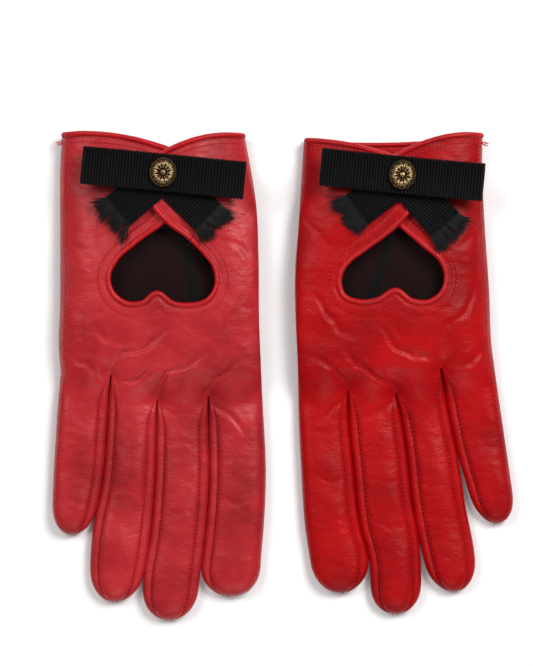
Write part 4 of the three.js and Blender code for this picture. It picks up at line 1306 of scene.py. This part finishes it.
def make_fringe(side, k, end, along, across):
    """The ribbon's frayed end: loose threads from its cut edge, fanned, each a bent four-sided bar."""
    rng = np.random.default_rng(40 + k + (side == "left") * 2)
    count, stray, clumps, rings, sides = 420, 10, 15, 6, 4
    total = count + stray
    place = np.r_[rng.uniform(-1, 1, count), rng.choice([-1, 1], stray) * rng.uniform(0.7, 1, stray)]
    clump = np.round((place + 1) * (clumps - 1) / 2).astype(int)
    fan = place * 0.16 + rng.normal(0, 0.07, total) + rng.normal(0, 0.17, clumps)[clump]
    fan[count:] += rng.normal(0, 0.35, stray)
    length = np.r_[rng.uniform(6.5, 9.5, count), rng.uniform(8, 12, stray)]
    length = length * rng.uniform(0.75, 1.15, clumps)[clump]
    share = np.linspace(0, 1, rings)[None, :]
    curl = rng.normal(0, 0.14, total)[:, None]
    angle = fan[:, None] + curl * share * 2
    step = length[:, None] / (rings - 1)
    forward = np.cumsum(np.c_[np.zeros(total), np.cos(angle[:, 1:])], axis=1) * step
    sideways = np.cumsum(np.c_[np.zeros(total), np.sin(angle[:, 1:])], axis=1) * step
    level = rng.uniform(-0.4, 0.3, total) + rng.normal(0, 0.25, clumps)[clump]
    level = level[:, None] * (0.4 + 0.6 * share)
    sink = -1.7 * share ** 1.6
    place = place[:, None] * (RIBBON_WIDTH / 2 - 0.3) + sideways
    centres = end + (forward - 0.8)[..., None] * along + place[..., None] * across
    centres[..., 2] = tail_height(side) + level + sink
    heading = unit(np.gradient(centres, axis=1))
    flat_side = unit(np.cross(heading, [0, 0, 1.0]))
    up = np.cross(flat_side, heading)
    thick = (0.15 * (1 - 0.6 * share ** 3))[..., None, None]
    turn = np.linspace(0, 2 * np.pi, sides, endpoint=False)
    ring = np.cos(turn)[:, None] * flat_side[:, :, None] + np.sin(turn)[:, None] * up[:, :, None]
    points = centres[:, :, None] + thick * ring
    one = grid_faces(rings, sides, wrap_columns=True)[:, ::-1]
    last = (rings - 1) * sides
    one = np.concatenate([one, [[0, 1, 2, 3]], [[last, last + 3, last + 2, last + 1]]])
    faces = (one[None] + (np.arange(total) * rings * sides)[:, None, None]).reshape(-1, 4)
    obj = write_mesh(f"{side}_frayed_end_{k + 1}", points.reshape(-1, 3), faces)
    return dress(obj, "fringe", "grosgrain", f"{side}_hand")


def make_stud(side):
    """An oval rosette: twelve petals round a beaded centre, on a domed disc with a rolled rim."""
    _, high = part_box(f"{side}_stud")
    centre, along, across = ribbon_frame(side)
    base = high[2] / MM - STUD["depth"]
    radius = np.r_[np.linspace(0, 1, 70), 1.02, 1.0]
    angle = np.linspace(0, 2 * np.pi, 192, endpoint=False)
    angles, radii = np.meshgrid(angle, radius, indexing="ij")
    inner = np.clip(radii, 0, 1)
    petal = np.abs(np.cos(STUD["petals"] / 2 * angles)) ** 0.6
    small = np.abs(np.sin(STUD["petals"] / 2 * angles)) ** 0.6
    ring = smooth(0.26, 0.34, inner) * (1 - smooth(0.6, 0.9, inner))
    outer = smooth(0.4, 0.6, inner) * (1 - smooth(0.8, 0.9, inner))
    centre_bead = np.sqrt(np.maximum(1 - (inner / 0.24) ** 2, 0))
    beads = 0.5 * np.exp(-(((inner - 0.3) / 0.045) ** 2)) * (0.5 + 0.5 * np.cos(STUD["beads"] * angles))
    rim = np.exp(-(((inner - 0.94) / 0.05) ** 2)) * (0.8 + 0.2 * np.cos(STUD["notches"] * angles))
    relief = 0.9 * centre_bead + beads + 0.75 * ring * petal + 0.55 * outer * small + 0.5 * rim
    dome = 1.1 + 1.2 * np.sqrt(np.maximum(1 - 0.9 * inner ** 2, 0))
    z = base + dome + 0.85 * relief - 0.25
    z = np.where(radii > 1.01, base + 0.8, z)
    z[:, -1] = base
    wide = radii * (1 + 0.02 * np.cos(STUD["petals"] * angles) * smooth(0.9, 1, inner))
    right = STUD["half_width"] * wide * np.cos(angles)
    up = STUD["half_length"] * wide * np.sin(angles)
    points = centre + right[..., None] * along + up[..., None] * across
    points[..., 2] = z
    flat = points.reshape(-1, 3)
    columns = len(radius)
    faces = grid_faces(len(angle), columns, wrap_rows=True)
    faces = faces[np.all(faces % columns > 0, axis=1)]
    first = np.arange(len(angle)) * columns + 1
    over = np.stack([np.zeros_like(first), first, np.roll(first, -1)], -1)
    last = first + columns - 2
    under = np.stack([np.full_like(last, len(flat)), np.roll(last, -1), last], -1)
    flat = np.concatenate([flat, [[*centre[:2], base]]])
    obj = polygons(f"{side}_rosette_stud", flat, faces, np.concatenate([over, under]))
    polish = np.append(relief.ravel() / 1.3, 0.0)
    layer = obj.data.attributes.new("relief", "FLOAT", "POINT")
    layer.data.foreach_set("value", polish.astype(np.float32))
    tidy_mesh(obj)
    dress(obj, "brass", "antique_brass", f"{side}_hand", f"{side}_stud")


def tidy_mesh(obj):
    """Merged doubles, no loose points and faces turned outwards."""
    work = bmesh.new()
    work.from_mesh(obj.data)
    bmesh.ops.remove_doubles(work, verts=work.verts, dist=1e-7)
    bmesh.ops.delete(work, geom=[v for v in work.verts if not v.link_faces], context="VERTS")
    bmesh.ops.recalc_face_normals(work, faces=work.faces)
    work.to_mesh(obj.data)
    work.free()


def make_label():
    """A satin care label, sewn down inside the right glove: a thin sheet with one lifted corner."""
    low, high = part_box("right_care_label")
    x = np.linspace(low[0], high[0], 30) / MM - SHIFT[0]
    y = np.linspace(low[1], high[1], 20) / MM - SHIFT[1]
    xs, ys = np.meshgrid(x, y, indexing="ij")
    lifted = smooth(0.5, 1, (xs - x[0]) / (x[-1] - x[0])) * smooth(0.5, 1, (ys - y[0]) / (y[-1] - y[0]))
    z = high[2] / MM + 0.6 * lifted
    points = np.stack([xs, ys, z], -1)
    obj = shell("right_care_label_satin", points, upward(normals_of(points)), 0.3)
    dress(obj, "label", "label_satin", "right_hand", "right_care_label")


def make_seam_tape(side):
    """The black tape over the lining's seam: a bowed strip on the palm's lining, widening to 4 mm."""
    start, end = np.array(SEAM_TAPES[side])
    glove = GLOVE[side]
    t = np.linspace(0, 1, 60)
    middle = mix(start, end, t[:, None])
    middle[:, 0] += 1.6 * np.sin(np.pi * t)
    heading = unit(np.gradient(middle, axis=0))
    across = np.stack([-heading[:, 1], heading[:, 0]], -1)
    v = np.linspace(-1, 1, 9)
    flat = middle[:, None] + (v[None, :, None] * mix(1.3, 2.0, t)[:, None, None]) * across[:, None]
    z = glove.palm_z(flat[..., 0], flat[..., 1]) + size("leather") + 1.1 + 0.5 * (1 - v ** 2)[None, :]
    points = np.concatenate([flat, z[..., None]], -1)
    obj = shell(f"{side}_lining_seam_tape", points, upward(normals_of(points)), 0.4)
    dress(obj, "tape", "lining_knit", f"{side}_hand")


def make_thread_ends(side):
    """Three loose red thread ends at the cuff's outer corner, each a gentle wave."""
    corner = np.array(PATTERN[side]["side_little"][0], float) + (0, -3.5)
    away = -GLOVE[side].to_index
    pieces = []
    for k, (reach, rise) in enumerate(((3.4, 0.9), (3.1, -0.4), (2.6, 0.3))):
        t = np.linspace(0, 1, 12)
        line = np.stack([corner[0] + away * (reach * t - 0.8), corner[1] + rise * t + 0.5 * np.sin(5 * t + k),
                         5.8 + 0.5 * k + 0.4 * np.sin(3 * t)], -1)
        pieces.append(tube(line, 0.22, sides=6))
    offset = 0
    points, quads, caps = [], [], []
    for flat, faces, ends in pieces:
        points.append(flat)
        quads.append(faces + offset)
        caps.append(ends + offset)
        offset += len(flat)
    whole = [np.concatenate(part) for part in (points, quads, caps)]
    obj = polygons(f"{side}_loose_thread", *whole)
    tidy_mesh(obj)
    dress(obj, "red_thread", "red_leather", f"{side}_hand")


# ---------- stage ----------

def make_floor(scene):
    """A matt white floor, 6 m square."""
    floor = bpy.data.objects.new("floor", bpy.data.meshes.new("floor"))
    floor.data.from_pydata([(-3, -3, 0), (3, -3, 0), (3, 3, 0), (-3, 3, 0)], [], [(0, 1, 2, 3)])
    scene.collection.objects.link(floor)
    pale = Nodes("pale_floor", Roughness=0.9, Base_Color=(0.93, 0.93, 0.93, 1), Specular_IOR_Level=0.1)
    floor.data.materials.append(pale.material)


def make_light(scene, name, place, share):
    """A square soft light at a place, turned towards the origin."""
    data = bpy.data.lights.new(name, "AREA")
    data.size = LIGHT_SIZE
    data.energy = scene.glove_stage.light_power * share
    light = bpy.data.objects.new(name, data)
    light.location = place
    x, y, z = place
    light.rotation_euler = (math.atan2(math.hypot(x, y), z), 0, math.atan2(x, -y))
    scene.collection.objects.link(light)


def make_camera(scene):
    """A camera straight above the gloves; its picture is VIEW_LENGTH tall on the table."""
    data = bpy.data.cameras.new("camera")
    data.sensor_width = SENSOR
    data.lens = SENSOR * CAMERA_HEIGHT / (VIEW_LENGTH * MM)
    camera = bpy.data.objects.new("camera", data)
    x, y = (np.array(VIEW_MIDDLE) + SHIFT[:2]) * MM
    camera.location = (x, y, CAMERA_HEIGHT)
    scene.collection.objects.link(camera)
    scene.camera = camera


def make_stage():
    """A pale floor, large soft lights, a pale sky and the camera straight above."""
    scene = bpy.context.scene
    scene.view_settings.view_transform = "Standard"
    make_floor(scene)
    for name, place, share in LIGHTS:
        make_light(scene, name, place, share)
    world = bpy.data.worlds.new("sky")
    world.use_nodes = True
    background = world.node_tree.nodes["Background"]
    background.inputs["Color"].default_value = (1, 1, 1, 1)
    background.inputs["Strength"].default_value = scene.glove_stage.sky
    scene.world = world
    make_camera(scene)


# ---------- the add-on ----------

def length(name, description, default):
    """A size for the sidebar, in metres."""
    return bpy.props.FloatProperty(
        name=name, description=description, default=default, min=0.0001, max=0.01, precision=5, unit="LENGTH")


def colour(name, description, default):
    """A colour for the sidebar."""
    return bpy.props.FloatVectorProperty(
        name=name, description=description, default=default, size=3, min=0, max=1, subtype="COLOR")


class GLOVES_PG_sizes(bpy.types.PropertyGroup):
    """Sizes of the leather, the lining, the rolled edge and the stitches"""
    leather: length("Leather", "Thickness of the glove leather", 0.0009)
    lining: length("Lining", "Thickness of the knitted lining", 0.00045)
    bead: length("Rolled edge", "Radius of the rolled edge round the opening", 0.00125)
    stitch_pitch: length("Stitch pitch", "Distance from one stitch to the next", 0.0019)


class GLOVES_PG_colours(bpy.types.PropertyGroup):
    """Colours of the leathers, the ribbon and the thread"""
    right_leather_deep: colour("Right leather, deep", "Darkest red of the right glove", (0.25, 0.005, 0.008))
    right_leather_main: colour("Right leather", "Main red of the right glove", (0.385, 0.012, 0.017))
    right_leather_pale: colour("Right leather, pale", "Palest red of the right glove", (0.5, 0.026, 0.031))
    left_leather_deep: colour("Left leather, deep", "Darkest red of the left glove", (0.22, 0.001, 0.002))
    left_leather_main: colour("Left leather", "Main red of the left glove", (0.335, 0.0015, 0.003))
    left_leather_pale: colour("Left leather, pale", "Palest red of the left glove", (0.45, 0.004, 0.006))
    binding_leather_deep: colour("Rolled edge, deep", "Darkest red of the rolled edge", (0.3, 0.003, 0.005))
    binding_leather_main: colour("Rolled edge", "Main red of the rolled edge", (0.4, 0.004, 0.007))
    binding_leather_pale: colour("Rolled edge, pale", "Palest red of the rolled edge", (0.49, 0.01, 0.013))
    # The ribbon's dark colour is painted shade between its threads.
    grosgrain_dark: colour("Ribbon, dark", "Ribbon between its threads", (0.0003, 0.0003, 0.0004))
    grosgrain_light: colour("Ribbon", "Threads of the ribbon", (0.002, 0.002, 0.0026))
    # The thread's dark colour is painted shade in its hollows, and its light colour painted light on its
    # plies.
    red_thread_dark: colour("Thread, dark", "Hollows of the sewing thread", (0.36, 0.004, 0.008))
    red_thread_light: colour("Thread", "Sewing thread", (0.62, 0.02, 0.025))


class GLOVES_PG_stage(bpy.types.PropertyGroup):
    """Strengths of the lights and the sky"""
    light_power: bpy.props.FloatProperty(
        name="Light power", description="Power that each light has its share of", default=11.8, min=0,
        unit="POWER")
    sky: bpy.props.FloatProperty(name="Sky", description="Strength of the pale sky", default=0.22, min=0)


class GLOVES_OT_stage(bpy.types.Operator):
    """Adds the floor, lights, sky and camera"""
    bl_idname = "gloves.stage"
    bl_label = "Stage"

    def execute(self, context):
        make_stage()
        return {"FINISHED"}


class GLOVES_OT_backs(bpy.types.Operator):
    """Adds the leather backs of the hands with their linings"""
    bl_idname = "gloves.backs"
    bl_label = "Backs of the hands"

    def execute(self, context):
        for side in SIDES:
            make_back(side)
        return {"FINISHED"}


class GLOVES_OT_palms(bpy.types.Operator):
    """Adds the leather palms with their linings and seam tapes"""
    bl_idname = "gloves.palms"
    bl_label = "Palms"

    def execute(self, context):
        for side in SIDES:
            make_palm(side)
            make_seam_tape(side)
        return {"FINISHED"}


class GLOVES_OT_fingers(bpy.types.Operator):
    """Adds the back, palm and side strips and the lining of every finger"""
    bl_idname = "gloves.fingers"
    bl_label = "Fingers"

    def execute(self, context):
        for side in SIDES:
            for name in FINGERS:
                make_finger(side, name)
        return {"FINISHED"}


class GLOVES_OT_thumbs(bpy.types.Operator):
    """Adds the tucked thumbs"""
    bl_idname = "gloves.thumbs"
    bl_label = "Thumbs"

    def execute(self, context):
        for side in SIDES:
            make_thumb(side)
        return {"FINISHED"}


class GLOVES_OT_edges(bpy.types.Operator):
    """Adds the rolled edge bindings"""
    bl_idname = "gloves.edges"
    bl_label = "Edge bindings"

    def execute(self, context):
        for side in SIDES:
            make_binding(side)
        return {"FINISHED"}


class GLOVES_OT_stitches(bpy.types.Operator):
    """Adds the stitching and the loose thread ends"""
    bl_idname = "gloves.stitches"
    bl_label = "Stitching"

    def execute(self, context):
        for side in SIDES:
            make_hand_stitches(side)
            make_thread_ends(side)
            for name in FINGERS:
                make_finger_stitches(side, name)
        return {"FINISHED"}


class GLOVES_OT_bows(bpy.types.Operator):
    """Adds the ribbon bows with their frayed tails"""
    bl_idname = "gloves.bows"
    bl_label = "Ribbon bows"

    def execute(self, context):
        for side in SIDES:
            make_loop(side)
            make_tails(side)
        return {"FINISHED"}


class GLOVES_OT_studs(bpy.types.Operator):
    """Adds the brass studs and finishes their backplates"""
    bl_idname = "gloves.studs"
    bl_label = "Studs"

    def execute(self, context):
        for side in SIDES:
            make_stud(side)
            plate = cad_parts[f"{side}_stud_backplate"]
            plate.data.materials.clear()
            plate.data.materials.append(material("brass"))
        return {"FINISHED"}


class GLOVES_OT_label(bpy.types.Operator):
    """Adds the care label inside the right glove"""
    bl_idname = "gloves.label"
    bl_label = "Care label"

    def execute(self, context):
        make_label()
        return {"FINISHED"}


OPERATORS = (GLOVES_OT_stage, GLOVES_OT_backs, GLOVES_OT_palms, GLOVES_OT_fingers, GLOVES_OT_thumbs,
             GLOVES_OT_edges, GLOVES_OT_stitches, GLOVES_OT_bows, GLOVES_OT_studs, GLOVES_OT_label)


GROUPS = {"glove_sizes": GLOVES_PG_sizes, "glove_colours": GLOVES_PG_colours, "glove_stage": GLOVES_PG_stage}


class GLOVES_PT_panel(bpy.types.Panel):
    """Lists the pieces of the gloves"""
    bl_label = "Driving Gloves"
    bl_idname = "GLOVES_PT_panel"
    bl_space_type = "VIEW_3D"
    bl_region_type = "UI"
    bl_category = "Gloves"

    def draw(self, context):
        for name, group in GROUPS.items():
            for setting in group.__annotations__:
                self.layout.prop(getattr(context.scene, name), setting)
        for operator in OPERATORS:
            self.layout.operator(operator.bl_idname)


CLASSES = (*GROUPS.values(), *OPERATORS, GLOVES_PT_panel)


def register():
    """Adds the classes and the scene's settings."""
    for cls in CLASSES:
        bpy.utils.register_class(cls)
    for name, group in GROUPS.items():
        setattr(bpy.types.Scene, name, bpy.props.PointerProperty(type=group))


def unregister():
    """Takes the settings and the classes away again."""
    for name in GROUPS:
        delattr(bpy.types.Scene, name)
    for cls in reversed(CLASSES):
        bpy.utils.unregister_class(cls)


def main():
    """Registers the add-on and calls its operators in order."""
    register()
    for operator in OPERATORS:
        group, name = operator.bl_idname.split(".")
        getattr(getattr(bpy.ops, group), name)()
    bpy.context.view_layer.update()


if __name__ == "__main__":
    main()
